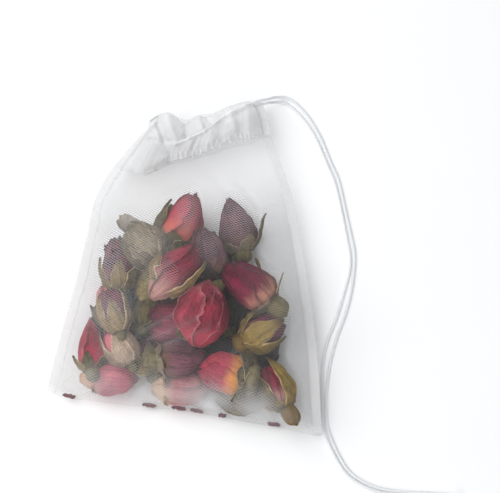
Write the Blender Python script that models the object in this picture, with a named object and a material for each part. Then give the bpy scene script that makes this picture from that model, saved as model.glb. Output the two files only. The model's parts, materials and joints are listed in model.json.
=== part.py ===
"""Drawstring tea filter bag: a see-through nylon mesh bag full of dried rosebuds.

The bag lies on its back. X runs across it, Y from its folded bottom to its mouth, and Z is up.
The origin is in the middle of the bag's own box, on the surface that it lies on.
A place in the bag is given as a share across its pocket, -1 at the left seam and 1 at the right,
and a share up it, 0 at the bottom fold and 1 at the rim.
"""

import math

import bmesh
import bpy
import numpy as np
from mathutils import Euler, Vector
from mathutils.bvhtree import BVHTree

MM = 0.001

# The pouch
BAG_WIDTH = 70.0 * MM
BAG_LENGTH = 83.0 * MM
WALL = 0.35 * MM
SEAM_WIDTH = 2.3 * MM
CLEARANCE = 0.3 * MM
FOLD_HEIGHT = 2.6 * MM
SIDE_HEIGHT = 5.6 * MM
SIDE_ROUNDING = 7.0 * MM
FOLD_ROUNDING = 6.0 * MM
BELLY_RISE = 28.0 * MM
NECK_REACH = 34.0 * MM

# The gathered hem at the mouth
MOUTH_DEPTH = 11.0 * MM
HEM_LEFT = 15.0 * MM
HEM_RIGHT = 10.5 * MM
GATHERS = 7
GATHER_DRIFT = 0.05
GATHER_PUFF = 0.55 * MM
GATHER_FOLD = 0.8 * MM
GATHER_REACH = 17.0 * MM
GATHER_FLATNESS = 4
SIDE_ROUNDING_SHARE = 0.6
RIM_HUMP = 2.2 * MM
RIM_HUMP_PLACE = -0.62
RIM_HUMP_SPREAD = 0.22
RIM_WAVE = 0.65 * MM

# The drawstring
CORD = 0.8 * MM
CORD_ROOM = CORD + 2 * CLEARANCE
CORD_POINT_STEP = 2.8 * CORD
EXIT_BELOW_RIM = 2.2 * MM
EXIT_SLIT = 2.6 * MM
SLIT_OVERRUN = 3 * WALL
SLIT_SPREAD = 1.3
HEM_CORD_START = 0.06
HEM_CORD_POINTS = 28
CORD_DIP = 6.0 * MM
KNOT = 2.6 * MM

# The rosebuds and the crumbs of petal
BUD_LENGTH = 17.0 * MM
BUD_WIDTH = 9.6 * MM
BUD_BOW = 0.5 * MM
BUD_SIDES = 10
SEPAL_RIDGE = 0.07
PETAL_CREASE = 0.09
CRUMB_LENGTH = 3.2 * MM
CRUMB_WIDTH = 1.4 * MM
CRUMB_THICKNESS = 0.5 * MM

# How the rosebuds settle: how near they come to a seam, how far they roll, and how readily
EDGE_MARGIN = 1.7 * MM
BUD_ROAM = 2.0 * MM
ROAM_COST = 1.0
PILE_GRID = CLEARANCE

# How fine the bag's surface is
COLUMNS = 42
POUCH_ROWS = 32
HEM_ROWS = 4
ROW_CROWDING = 1.4
COLUMN_CROWDING = 0.45
STEEPEST = 2.2
STRETCH_ROUNDS = 400
STRETCH_OVERLAP = 1.0
SIDE_SAMPLES = 60
MARGIN_ROUNDS = 3
SHARP_ANGLE = math.radians(50)

# The bag's two side lines, as shares of half its width and of its length, from the bottom corner to the rim
LEFT_SIDE = ((-1.00, 0.00), (-0.97, 0.21), (-0.925, 0.45), (-0.885, 0.67), (-0.735, 0.80), (-0.61, 0.87))
RIGHT_SIDE = ((1.00, 0.00), (0.885, 0.20), (0.745, 0.42), (0.575, 0.63), (0.365, 0.83), (0.20, 1.00))

# One rosebud from its stem to its tip: how far along, and how wide there
BUD_PROFILE = ((0.00, 0.00), (0.02, 0.14), (0.07, 0.37), (0.14, 0.46), (0.22, 0.38), (0.34, 0.80),
               (0.53, 1.00), (0.75, 0.80), (0.92, 0.40), (1.00, 0.00))
SEPAL_RINGS = (5, 6)
PETAL_RINGS = (7, 8)

# Where each rosebud lies, in the order they are laid in: place across the pocket and up it, heading and
# tilt of the tip in degrees, and its length, width and openness against a common bud
ROSEBUDS = (
    (-0.60, 0.04, 12, 0, 0.84, 0.86, 1.1), (-0.03, 0.05, 11, 0, 0.84, 0.86, 1.0),
    (0.42, 0.05, 169, 0, 0.75, 0.80, 0.6), (-0.78, 0.15, 104, -14, 1.00, 0.76, 0.9),
    (-0.30, 0.15, 114, 0, 0.75, 0.80, 0.8), (0.16, 0.17, 40, 0, 0.85, 0.80, 0.9),
    (0.64, 0.22, 80, 0, 0.85, 0.80, 0.9), (-0.36, 0.31, 75, 0, 0.85, 0.75, 0.9),
    (0.04, 0.31, 130, 0, 0.92, 0.80, 1.0), (-0.72, 0.30, 105, 0, 0.80, 0.72, 0.8),
    (0.34, 0.33, 100, 0, 0.90, 0.80, 0.9), (0.08, 0.46, 110, 0, 1.00, 0.85, 1.0),
    (-0.38, 0.46, 60, 0, 0.90, 0.80, 0.8), (-0.65, 0.42, 99, 0, 1.00, 0.98, 0.9),
    (0.46, 0.57, 112, 0, 1.02, 0.95, 0.9), (-0.08, 0.15, 18, 0, 0.88, 0.98, 1.1),
    (-0.57, 0.14, 133, 0, 0.80, 0.80, 0.7), (-0.63, 0.27, 117, 0, 0.86, 0.82, 0.7),
    (-0.44, 0.50, 146, 0, 0.90, 0.98, 0.7), (0.17, 0.46, 115, 0, 1.02, 0.85, 0.9),
    (0.61, 0.25, 37, 0, 0.88, 0.98, 0.7), (-0.10, 0.28, 194, 0, 0.76, 0.92, 1.1),
    (-0.15, 0.57, 80, 0, 1.05, 1.00, 0.9), (0.50, 0.39, 151, 3, 1.08, 1.05, 1.1),
    (-0.11, 0.415, 57, 3, 1.02, 1.02, 1.0), (0.71, 0.105, 130, 0, 1.02, 0.95, 0.8),
    (0.33, 0.14, 177, 0, 0.92, 1.02, 1.1), (0.12, 0.29, 91, 12, 0.92, 1.24, 1.3),
)

# Petal crumbs in the bottom fold: place across the pocket, and heading in degrees
CRUMBS = ((-0.90, 10), (-0.28, 5), (-0.05, 0), (0.09, -10), (0.29, 60), (0.69, 20))

# The free strands from the slit to the knot, in millimetres: x, y and how high each lies above the surface
STRAND_A = (
    (13.2, 43.6, 1.4), (16.9, 42.4, 0), (20.2, 39.3, 0), (23.4, 35.0, 0), (27.0, 28.8, 0), (30.2, 23.0, 0),
    (32.9, 16.0, 0), (35.2, 9.6, 0), (37.0, 3.6, 0), (37.6, -3.9, 0), (37.0, -10.6, 0), (35.7, -17.0, 0),
    (35.0, -23.4, 0), (35.2, -29.3, 0), (35.7, -34.2, 0), (36.7, -38.6, 0), (38.6, -42.0, 0),
    (40.8, -45.3, 0), (43.4, -48.3, 0), (46.6, -50.6, 0), (51.0, -52.0, 0), (56.6, -52.4, 0),
    (63.4, -51.4, 0), (70.0, -50.4, 0),
)
STRAND_B = (
    (12.4, 41.4, 0.3), (15.6, 39.6, 0), (18.8, 36.6, 0), (21.8, 32.8, 0), (25.4, 27.4, 0), (28.6, 22.0, 0),
    (31.4, 15.4, 0), (33.7, 9.2, 0), (35.6, 3.2, 0), (36.0, -2.6, 0), (34.8, -9.4, 0), (33.4, -16.0, 0),
    (32.6, -22.6, 0), (33.6, -29.6, 0), (34.5, -34.8, 0), (35.5, -39.2, 0), (37.4, -43.0, 0),
    (39.8, -46.6, 0), (42.6, -49.7, 0), (46.2, -52.0, 0), (51.0, -53.4, 0), (56.8, -53.8, 0),
    (63.4, -52.8, 0), (70.0, -51.8, 0),
)

NYLON = (0.86, 0.87, 0.88)
CORD_WHITE = (0.90, 0.90, 0.90)
PETAL = (0.42, 0.05, 0.09)
CRUMB = (0.28, 0.10, 0.14)


def clear_scene():
    for obj in list(bpy.data.objects):
        bpy.data.objects.remove(obj, do_unlink=True)


def material(name, colour, roughness):
    """A plain finish for one sub-part."""
    mat = bpy.data.materials.new(name)
    mat.use_nodes = True
    shader = mat.node_tree.nodes["Principled BSDF"]
    shader.inputs["Base Color"].default_value = (*colour, 1.0)
    shader.inputs["Roughness"].default_value = roughness
    shader.inputs["Metallic"].default_value = 0.0
    mat.diffuse_color = (*colour, 1.0)
    return mat


def add_object(name, data, mat):
    data.materials.append(mat)
    obj = bpy.data.objects.new(name, data)
    bpy.context.scene.collection.objects.link(obj)
    return obj


def solid(name, bm, mat):
    """Turns a closed bmesh into a named, smoothly shaded object."""
    bmesh.ops.recalc_face_normals(bm, faces=bm.faces)
    mesh = bpy.data.meshes.new(name)
    bm.to_mesh(mesh)
    bm.free()
    mesh.shade_smooth()
    mesh.set_sharp_from_angle(angle=SHARP_ANGLE)
    return add_object(name, mesh, mat)


def smooth_line(points, per_span=24):
    """A smooth curve through hand-chosen points, as closely spaced points."""
    route = np.array(points, float)
    ends = np.vstack([2 * route[0] - route[1], route, 2 * route[-1] - route[-2]])
    share = np.linspace(0, 1, per_span, endpoint=False)[:, None]
    line = []
    for a, b, c, d in zip(ends, ends[1:], ends[2:], ends[3:]):
        line.append(0.5 * (2 * b + (c - a) * share + (2 * a - 5 * b + 4 * c - d) * share ** 2
                           + (3 * b - a - 3 * c + d) * share ** 3))
    return np.vstack(line + [route[-1:]])


def line_length(line):
    return float(np.linalg.norm(np.diff(line, axis=0), axis=1).sum())


def along(line, shares):
    """Points at given shares of a line's length."""
    steps = np.linalg.norm(np.diff(line, axis=0), axis=1)
    run = np.concatenate([[0.0], np.cumsum(steps)]) / steps.sum()
    return np.stack([np.interp(shares, run, line[:, k]) for k in range(line.shape[1])], axis=-1)


def rounded(share):
    """0 at an edge, rising to 1 as a quarter circle does, like the side of a soft pillow."""
    return np.sqrt(1 - (1 - np.clip(share, 0, 1)) ** 2)


def eased(share):
    """0 to 1 with a soft start and a soft end."""
    share = np.clip(share, 0, 1)
    return share * share * (3 - 2 * share)


class Pocket:
    """The bag's outline, and the heights of its seams, its back and its hem."""

    def __init__(self):
        scale = np.array([BAG_WIDTH / 2, BAG_LENGTH])
        self.left = smooth_line(np.array(LEFT_SIDE) * scale)
        self.right = smooth_line(np.array(RIGHT_SIDE) * scale)
        self.left_seal = 1 - HEM_LEFT / line_length(self.left)
        self.right_seal = 1 - HEM_RIGHT / line_length(self.right)
        self.hem_start = (self.left_seal + self.right_seal) / 2
        across = column_places()
        rim = max(self.plan(across, np.ones(across.shape))[:, 1].max(), self.right[-1, 1])
        fold = self.right[0, 1] - WALL
        middle = np.array([0.0, (rim + fold) / 2])
        self.left = self.left - middle
        self.right = self.right - middle

    def side_place(self, line, seal, up):
        """The point of a side line for a place up the bag: each side's hem has a depth of its own."""
        below = up / self.hem_start * seal
        above = seal + (up - self.hem_start) / (1 - self.hem_start) * (1 - seal)
        return along(line, np.where(up <= self.hem_start, below, above))

    def ends(self, up, inset=0.0):
        """The pocket's left and right ends inside the two seams, drawn in by an inset."""
        left = self.side_place(self.left, self.left_seal, up)
        right = self.side_place(self.right, self.right_seal, up)
        step = (right - left) / np.linalg.norm(right - left, axis=-1, keepdims=True)
        return left + step * (SEAM_WIDTH + inset), right - step * (SEAM_WIDTH + inset)

    def plan(self, across, up, inset=0.0):
        """x and y of a place in the bag, with the hump and the waves that the gathers give its rim."""
        left, right = self.ends(up, inset)
        share = (across + 1)[..., None] / 2
        place = left * (1 - share) + right * share
        hem = np.clip((up - self.hem_start) / (1 - self.hem_start), 0, 1)
        hump = RIM_HUMP * np.exp(-((across - RIM_HUMP_PLACE) / RIM_HUMP_SPREAD) ** 2)
        wave = RIM_WAVE * self.gather(across)
        place[..., 1] += (hump + wave) * hem * (1 - across ** GATHER_FLATNESS)
        return place

    def rooms(self, x, y):
        """How far a place lies from the pocket's left end and right end, along X, and from its fold."""
        left, right = self.ends(np.linspace(0, 1, SIDE_SAMPLES))
        fold = self.plan(np.zeros(1), np.zeros(1))[0, 1]
        return x - np.interp(y, left[:, 1], left[:, 0]), np.interp(y, right[:, 1], right[:, 0]) - x, y - fold

    def half_width(self, up):
        left, right = self.ends(up)
        return np.linalg.norm(right - left, axis=-1) / 2

    def middle_height(self, up):
        """Height of the seams: low at the bottom fold, and half the mouth's depth at the hem."""
        run = up * line_length(self.right)
        neck = self.hem_start * line_length(self.right)
        belly = FOLD_HEIGHT + (SIDE_HEIGHT - FOLD_HEIGHT) * rounded(run / BELLY_RISE)
        hem = eased((run - neck + NECK_REACH) / NECK_REACH)
        return belly * (1 - hem) + MOUTH_DEPTH / 2 * hem

    def side_round(self, across, up):
        """0 at a seam, rising to 1 where a face is no longer drawn to it."""
        half = self.half_width(up)
        return rounded((1 - np.abs(across)) * half / np.minimum(SIDE_ROUNDING, SIDE_ROUNDING_SHARE * half))

    def back(self, across, up):
        """Outer height of the back, which lies on the surface except near the seams and the fold."""
        start = rounded(up * line_length(self.right) / FOLD_ROUNDING)
        return self.middle_height(up) * (1 - self.side_round(across, up) * start)

    def gather(self, across):
        """1 on each gather's crest and -1 in each furrow."""
        drift = across + GATHER_DRIFT * np.sin(math.pi * across)
        return np.cos(drift * GATHERS * math.pi)


def column_places():
    """Places across the bag, closer together near the seams."""
    even = np.linspace(-1, 1, COLUMNS + 1)
    return (1 - COLUMN_CROWDING) * even + COLUMN_CROWDING * np.sin(even * math.pi / 2)


def row_places(pocket):
    """Places up the pouch from its fold to its hem, closer together near the fold."""
    first = WALL / BAG_LENGTH
    return first + (pocket.hem_start - first) * np.linspace(0, 1, POUCH_ROWS + 1) ** ROW_CROWDING


def steep(heights, plan):
    """How much thicker, measured upright, a wall is where its surface leans."""
    dx = np.linalg.norm(np.gradient(plan, axis=1), axis=-1)
    dy = np.linalg.norm(np.gradient(plan, axis=0), axis=-1)
    slope = np.hypot(np.gradient(heights, axis=1) / dx, np.gradient(heights, axis=0) / dy)
    return np.minimum(np.sqrt(1 + slope ** 2), STEEPEST)


class Back:
    """The inner face of the back, which the rosebuds lie on."""

    def __init__(self, pocket):
        self.across, self.up = np.meshgrid(column_places(), row_places(pocket))
        self.plan = pocket.plan(self.across, self.up)
        self.outer = pocket.back(self.across, self.up)
        self.inner = self.outer + WALL * steep(self.outer, self.plan)

    def tree(self):
        """A lookup of this face, to rest things on."""
        rows, columns = self.inner.shape
        points = [Vector((*self.plan[r, c], self.inner[r, c])) for r in range(rows) for c in range(columns)]
        starts = [r * columns + c for r in range(rows - 1) for c in range(columns - 1)]
        return BVHTree.FromPolygons(points, [(k, k + 1, k + columns + 1, k + columns) for k in starts])


class Pile:
    """The heights of what lies in the bag, so that each next piece comes to rest on it."""

    def __init__(self, pocket, floor):
        self.low = -np.array([BAG_WIDTH, BAG_LENGTH]) / 2
        size = np.ceil(-2 * self.low / PILE_GRID).astype(int)
        lines = [self.low[k] + (np.arange(size[k]) + 0.5) * PILE_GRID for k in (0, 1)]
        self.x, self.y = np.meshgrid(*lines, indexing="ij")
        self.outside = np.minimum.reduce(pocket.rooms(self.x, self.y)) < EDGE_MARGIN - PILE_GRID
        self.top = np.zeros(size)
        for spot in map(tuple, np.argwhere(~self.outside)):
            hit = floor.ray_cast(self.over(spot, 1.0), Vector((0, 0, -1)))[0]
            self.outside[spot] = hit is None
            self.top[spot] = hit.z if hit else 0.0
        self.top[self.outside] = BAG_LENGTH

    def over(self, spot, z):
        return Vector((self.x[spot], self.y[spot], z))

    def cells(self, low, high):
        """The range of grid cells between two places."""
        first = np.floor((low - self.low) / PILE_GRID).astype(int)
        last = np.ceil((high - self.low) / PILE_GRID).astype(int)
        return np.clip(first, 0, self.top.shape), np.clip(last, 0, self.top.shape)

    def footprint(self, bm):
        """The grid cells under a piece, with its lowest and highest surface in each."""
        tree = BVHTree.FromBMesh(bm)
        places = np.array([v.co[:2] for v in bm.verts])
        first, last = self.cells(places.min(axis=0), places.max(axis=0))
        spots, under, above = [], [], []
        for spot in [(i, j) for i in range(first[0], last[0]) for j in range(first[1], last[1])]:
            low = tree.ray_cast(self.over(spot, -1.0), Vector((0, 0, 1)))[0]
            if low:
                spots.append(spot)
                under.append(low.z)
                above.append(tree.ray_cast(self.over(spot, 1.0), Vector((0, 0, -1)))[0].z)
        return np.array(spots), np.array(under), np.array(above)

    def lay(self, bm, roam):
        """Lets a piece settle into the lowest place within reach, a clearance above what lies there."""
        spots, under, above = self.footprint(bm)
        reach = range(-int(roam / PILE_GRID), int(roam / PILE_GRID) + 1)
        choices = []
        for step in [(i, j) for i in reach for j in reach]:
            moved = spots + step
            if (moved < 0).any() or (moved >= self.top.shape).any():
                continue
            rise = (self.top[tuple(moved.T)] - under).max() + CLEARANCE
            choices.append((rise + ROAM_COST * math.hypot(*step) * PILE_GRID, rise, step))
        rise, step = min(choices)[1:]
        for beside in ((0, 0), (-1, 0), (1, 0), (0, -1), (0, 1)):
            moved = tuple(np.clip(spots + step + beside, 0, np.array(self.top.shape) - 1).T)
            self.top[moved] = np.maximum(self.top[moved], above + rise)
        bmesh.ops.translate(bm, verts=bm.verts, vec=(step[0] * PILE_GRID, step[1] * PILE_GRID, rise))

    def highest(self, place, reach):
        """The top of the pile around a place, or 0 where nothing can lie."""
        first, last = self.cells(place - reach, place + reach)
        patch = np.s_[first[0]:last[0], first[1]:last[1]]
        return self.top[patch].max(where=~self.outside[patch], initial=0.0)


def keep_in_pocket(bm, pocket):
    """Moves a piece sideways until it lies wholly between the pocket's seams and above its fold."""
    for _ in range(MARGIN_ROUNDS):
        places = np.array([v.co[:2] for v in bm.verts])
        left, right, fold = pocket.rooms(places[:, 0], places[:, 1])
        shift = max((EDGE_MARGIN - left).max(), 0) - max((EDGE_MARGIN - right).max(), 0)
        lift = max((EDGE_MARGIN - fold).max(), 0)
        bmesh.ops.translate(bm, verts=bm.verts, vec=(shift, lift, 0))


def bud_shape(length, width, openness):
    """A rosebud along +X from its stem to its tip, with its middle at the origin: hip, sepals and petals."""
    rings = len(BUD_PROFILE) - 1
    bm = bmesh.new()
    bmesh.ops.create_uvsphere(bm, u_segments=BUD_SIDES, v_segments=rings, radius=1.0)
    for vert in bm.verts:
        ring = round(math.acos(max(-1.0, min(1.0, -vert.co.z))) / math.pi * rings)
        turn = math.atan2(vert.co.y, vert.co.x)
        far, radius = BUD_PROFILE[ring]
        if ring in SEPAL_RINGS:
            radius *= 1.0 + SEPAL_RIDGE * math.cos(BUD_SIDES / 2 * turn)
        if ring in PETAL_RINGS:
            radius *= openness
        if ring == PETAL_RINGS[0]:
            radius *= 1.0 + PETAL_CREASE * math.sin(2 * turn + openness * math.pi)
        radius *= width / 2
        bow = BUD_BOW * (2 * far - 1) ** 2
        vert.co = (length * (far - 0.5), radius * math.cos(turn), radius * math.sin(turn) + bow)
    return bm


def crumb_shape():
    """A scrap of petal, lying flat."""
    bm = bmesh.new()
    bmesh.ops.create_uvsphere(bm, u_segments=8, v_segments=4, radius=0.5)
    bmesh.ops.scale(bm, verts=bm.verts, vec=(CRUMB_LENGTH, CRUMB_WIDTH, CRUMB_THICKNESS))
    return bm


def put(bm, pocket, across, up, heading, tilt):
    """Turns a piece to its heading and tilt and sets it at its place in the pocket."""
    turn = Euler((0, -math.radians(tilt), math.radians(heading)), "XYZ").to_matrix()
    bmesh.ops.rotate(bm, verts=bm.verts, matrix=turn)
    spot = pocket.plan(np.array([across]), np.array([up]))[0]
    bmesh.ops.translate(bm, verts=bm.verts, vec=(*spot, 0))
    keep_in_pocket(bm, pocket)


def fill_bag(pocket, pile):
    """Lays in the petal crumbs and then the rosebuds, one on another."""
    for number, (across, heading) in enumerate(CRUMBS, 1):
        bm = crumb_shape()
        put(bm, pocket, across, 0.0, heading, 0)
        pile.lay(bm, PILE_GRID)
        solid(f"petal_crumb_{number}", bm, material(f"crumb_{number}", CRUMB, 0.8))
    for number, (across, up, heading, tilt, longer, wider, openness) in enumerate(ROSEBUDS, 1):
        bm = bud_shape(BUD_LENGTH * longer, BUD_WIDTH * wider, openness)
        put(bm, pocket, across, up, heading, tilt)
        pile.lay(bm, BUD_ROAM)
        solid(f"rosebud_{number:02d}", bm, material(f"dried_petals_{number:02d}", PETAL, 0.75))


def stretched_front(pocket, pile, back):
    """Inner height of the front, drawn tight from the hem to the seams and the fold over what lies inside."""
    across, up, plan = back.across, back.up, back.plan
    cells = [np.linalg.norm(np.gradient(plan, axis=k), axis=-1) for k in (1, 0)]
    reach = STRETCH_OVERLAP * np.stack(cells, axis=-1)
    least = back.inner + CLEARANCE
    for spot in np.ndindex(across.shape):
        least[spot] = max(least[spot], pile.highest(plan[spot], reach[spot]) + CLEARANCE)
    middle = pocket.middle_height(up)
    height = least.copy()
    height[:, [0, -1]] = middle[:, [0, -1]] + CLEARANCE / 2
    height[0] = middle[0] + CLEARANCE / 2
    height[-1] = middle[-1] * (1 + pocket.side_round(across[-1], up[-1])) - WALL
    for _ in range(STRETCH_ROUNDS):
        mean = (height[:-2, 1:-1] + height[2:, 1:-1] + height[1:-1, :-2] + height[1:-1, 2:]) / 4
        height[1:-1, 1:-1] = np.maximum(mean, least[1:-1, 1:-1])
    below_hem = (pocket.hem_start - up) * line_length(pocket.right)
    fade = np.clip(1 - below_hem / GATHER_REACH, 0, 1) * (below_hem > 0) * (1 - across ** GATHER_FLATNESS)
    fold = GATHER_FOLD * fade * pocket.gather(across)
    height[1:-1, 1:-1] = np.maximum(height + fold, least)[1:-1, 1:-1]
    return height


def ring(bm, plan, front, back, end_step, end_front, end_back):
    """A closed ring of points: the front to the right, the right end, the back to the left, the left end."""
    step = (plan[-1] - plan[0]) / np.linalg.norm(plan[-1] - plan[0]) * end_step
    right, left = plan[-1] + step, plan[0] - step
    points = [(*p, z) for p, z in zip(plan, front)]
    points += [(*right, end_front), (*right, end_back)]
    points += [(*p, z) for p, z in zip(plan[::-1], back[::-1])]
    points += [(*left, end_back), (*left, end_front)]
    return [bm.verts.new(p) for p in points]


def hem_ring(bm, pocket, up, inset, front_puff, back_puff, seamed=False):
    """A ring of the hem at an inset from its outer face, puffed by the gathers."""
    across = column_places()
    ups = np.full(across.shape, up)
    middle = float(pocket.middle_height(up))
    shape = pocket.side_round(across, ups)
    puff = (1 + pocket.gather(across)) / 2 * shape
    half = CLEARANCE / 2 + (middle - inset - CLEARANCE / 2) * shape
    seam = np.where(np.abs(across) == 1, WALL if seamed else 0.0, 0.0)
    plan = pocket.plan(across, ups, inset)
    thick = WALL if seamed else CLEARANCE / 2
    return ring(bm, plan, middle + half + front_puff * puff + seam, middle - half + back_puff * puff - seam,
                SEAM_WIDTH if seamed else CLEARANCE / 2, middle + thick, middle - thick)


def pouch_rings(bm, pocket, pile, back):
    """The rings of the pouch below the hem, on its outer face and on its inner face."""
    rows = back.up[:, 0]
    front = stretched_front(pocket, pile, back)
    front_outer = front + WALL * steep(front, back.plan)
    back_inner = np.minimum(back.inner, front - CLEARANCE)
    back_outer = np.maximum(np.minimum(back.outer, back_inner - WALL), 0)
    middle = pocket.middle_height(rows)
    outer, inner = [], []
    for r in range(len(rows)):
        outer.append(ring(bm, back.plan[r], front_outer[r], back_outer[r], SEAM_WIDTH,
                          middle[r] + WALL, middle[r] - WALL))
        inner.append(ring(bm, back.plan[r], front[r], back_inner[r], CLEARANCE / 2,
                          middle[r] + CLEARANCE / 2, middle[r] - CLEARANCE / 2))
    return outer, inner


def fold_ring(bm, pocket):
    """The ring at the bottom, where the one sheet of mesh is folded over."""
    across = column_places()
    plan = pocket.plan(across, np.zeros(across.shape)) - [0, WALL]
    level = float(pocket.middle_height(0.0))
    flat = np.full(across.shape, level)
    return ring(bm, plan, flat + WALL, flat - WALL, SEAM_WIDTH, level + WALL, level - WALL)


def join_rings(bm, rings):
    """Skins a row of rings, and closes the flat ring at each end of the row."""
    for lower, upper in zip(rings, rings[1:]):
        for k in range(len(lower)):
            bm.faces.new((lower[k - 1], lower[k], upper[k], upper[k - 1]))
    for end in (rings[0], rings[-1]):
        facing = len(end) - 3
        for k in range(-1, COLUMNS + 1):
            bm.faces.new((end[k], end[k + 1], end[facing - 1 - k], end[facing - k]))


def make_bag(pocket, pile, back):
    """One sheet of mesh: folded at the bottom, sealed up both sides, its hem turned in for the cord."""
    bm = bmesh.new()
    outer, inner = pouch_rings(bm, pocket, pile, back)
    rows = np.linspace(pocket.hem_start, 1.0, HEM_ROWS + 1)[1:]
    inside = rows - WALL / BAG_LENGTH
    turned = WALL + CORD_ROOM
    outer = [fold_ring(bm, pocket)] + outer + [hem_ring(bm, pocket, p, 0, GATHER_PUFF, 0, True) for p in rows]
    lining = [hem_ring(bm, pocket, p, turned + WALL, -GATHER_PUFF, GATHER_PUFF) for p in rows[::-1]]
    facing = [hem_ring(bm, pocket, p, turned, -GATHER_PUFF, GATHER_PUFF) for p in inside]
    wall = [hem_ring(bm, pocket, p, WALL, GATHER_PUFF, 0) for p in inside[::-1]]
    join_rings(bm, outer + lining + facing + wall + inner[::-1])
    return solid("mesh_bag", bm, material("nylon_mesh", NYLON, 0.6))


def exit_place(pocket, inset):
    """x, y and height of the slit in the right end of the hem, at an inset from the pocket's end."""
    up = np.array([1 - EXIT_BELOW_RIM / line_length(pocket.right)])
    return np.append(pocket.ends(up, inset)[1][0], pocket.middle_height(up)[0])


def cut_slit(bag, pocket):
    """Opens the right end of the hem where the cord comes out, through the wall and the seam."""
    inner = exit_place(pocket, WALL + CORD_ROOM / 2)
    outer = exit_place(pocket, -SEAM_WIDTH - SLIT_OVERRUN)
    run = outer - inner
    bm = bmesh.new()
    bmesh.ops.create_cube(bm, size=1.0)
    size = (float(np.linalg.norm(run)), EXIT_SLIT, 2 * CORD + 3 * CLEARANCE)
    bmesh.ops.scale(bm, verts=bm.verts, vec=size)
    cutter = solid("slit_cutter", bm, material("slit_cutter", CORD_WHITE, 0.5))
    cutter.location = (outer + inner) / 2
    cutter.rotation_euler = (0, 0, math.atan2(run[1], run[0]))
    cutter.hide_render = True
    cutter.display_type = "WIRE"
    cut = bag.modifiers.new("slit", "BOOLEAN")
    cut.object = cutter
    cut.operation = "DIFFERENCE"


def tube(name, line):
    """A round cord along a line, closed at both ends."""
    count = max(2, math.ceil(line_length(line) / CORD_POINT_STEP))
    points = along(line, np.linspace(0, 1, count + 1))
    curve = bpy.data.curves.new(name, "CURVE")
    curve.dimensions = "3D"
    curve.bevel_depth = CORD / 2
    curve.bevel_resolution = 2
    curve.use_fill_caps = True
    spline = curve.splines.new("POLY")
    spline.points.add(len(points) - 1)
    for point, spot in zip(spline.points, points):
        point.co = (*spot, 1.0)
    return add_object(name, curve, material(name, CORD_WHITE, 0.5))


def hem_cord_line(pocket):
    """Once round the mouth inside the hem: in at the slit, along the front, round the left end and back."""
    inset = WALL + CORD_ROOM / 2
    across = np.cos(np.linspace(HEM_CORD_START, 1.0, HEM_CORD_POINTS) * math.pi)
    length = line_length(pocket.right)
    up = 1 - (EXIT_BELOW_RIM + CORD_DIP * (1 - across) / 2) / length
    left, right = pocket.ends(up, inset - CLEARANCE / 2)
    plan = left + (right - left) * (across[:, None] + 1) / 2
    middle = pocket.middle_height(up)
    rise = (middle - inset) * pocket.side_round(across, up)
    apart = np.array([0, 0, (CORD + CLEARANCE) / 2])
    gate_apart = SLIT_SPREAD * apart
    out = exit_place(pocket, -SEAM_WIDTH - WALL)
    gate = exit_place(pocket, inset + WALL)
    front = np.vstack([out + apart, gate + gate_apart, np.column_stack([plan, middle + rise])])
    back = np.vstack([out - apart, gate - gate_apart, np.column_stack([plan, middle - rise])])
    return smooth_line(np.vstack([front, back[-2::-1]]), 6)


def strand(name, start, before, route):
    """A free strand of cord, from just outside the slit along its route."""
    ahead = (start - before) / np.linalg.norm(start - before)
    points = np.array(route) * MM + [0, 0, CORD / 2]
    tube(name, smooth_line(np.vstack([start + ahead * CLEARANCE, points])))


def make_knot():
    """The knot that ties the two strands' ends."""
    bm = bmesh.new()
    bmesh.ops.create_icosphere(bm, subdivisions=2, radius=KNOT / 2)
    ends = (np.array(STRAND_A[-1]) + np.array(STRAND_B[-1])) / 2 * MM
    bmesh.ops.translate(bm, verts=bm.verts, vec=(ends[0] + KNOT / 2 + CLEARANCE, ends[1], KNOT / 2))
    solid("drawstring_knot", bm, material("drawstring_knot", CORD_WHITE, 0.5))


def main():
    clear_scene()
    pocket = Pocket()
    back = Back(pocket)
    pile = Pile(pocket, back.tree())
    fill_bag(pocket, pile)
    cut_slit(make_bag(pocket, pile, back), pocket)
    line = hem_cord_line(pocket)
    tube("drawstring_in_hem", line)
    strand("drawstring_strand_a", line[0], line[1], STRAND_A)
    strand("drawstring_strand_b", line[-1], line[-2], STRAND_B)
    make_knot()


main()
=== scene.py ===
"""Drawstring tea filter bag full of dried rosebuds, dressed on its CAD frame.

Metres, +Z up. The bag lies on its back: X runs across it, Y from its fold to its mouth.
"""
import json
import math
import random
from types import SimpleNamespace
from typing import NamedTuple

import bmesh
import bpy
import numpy as np
from mathutils import Euler, Matrix, Vector, noise
from mathutils.bvhtree import BVHTree

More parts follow.
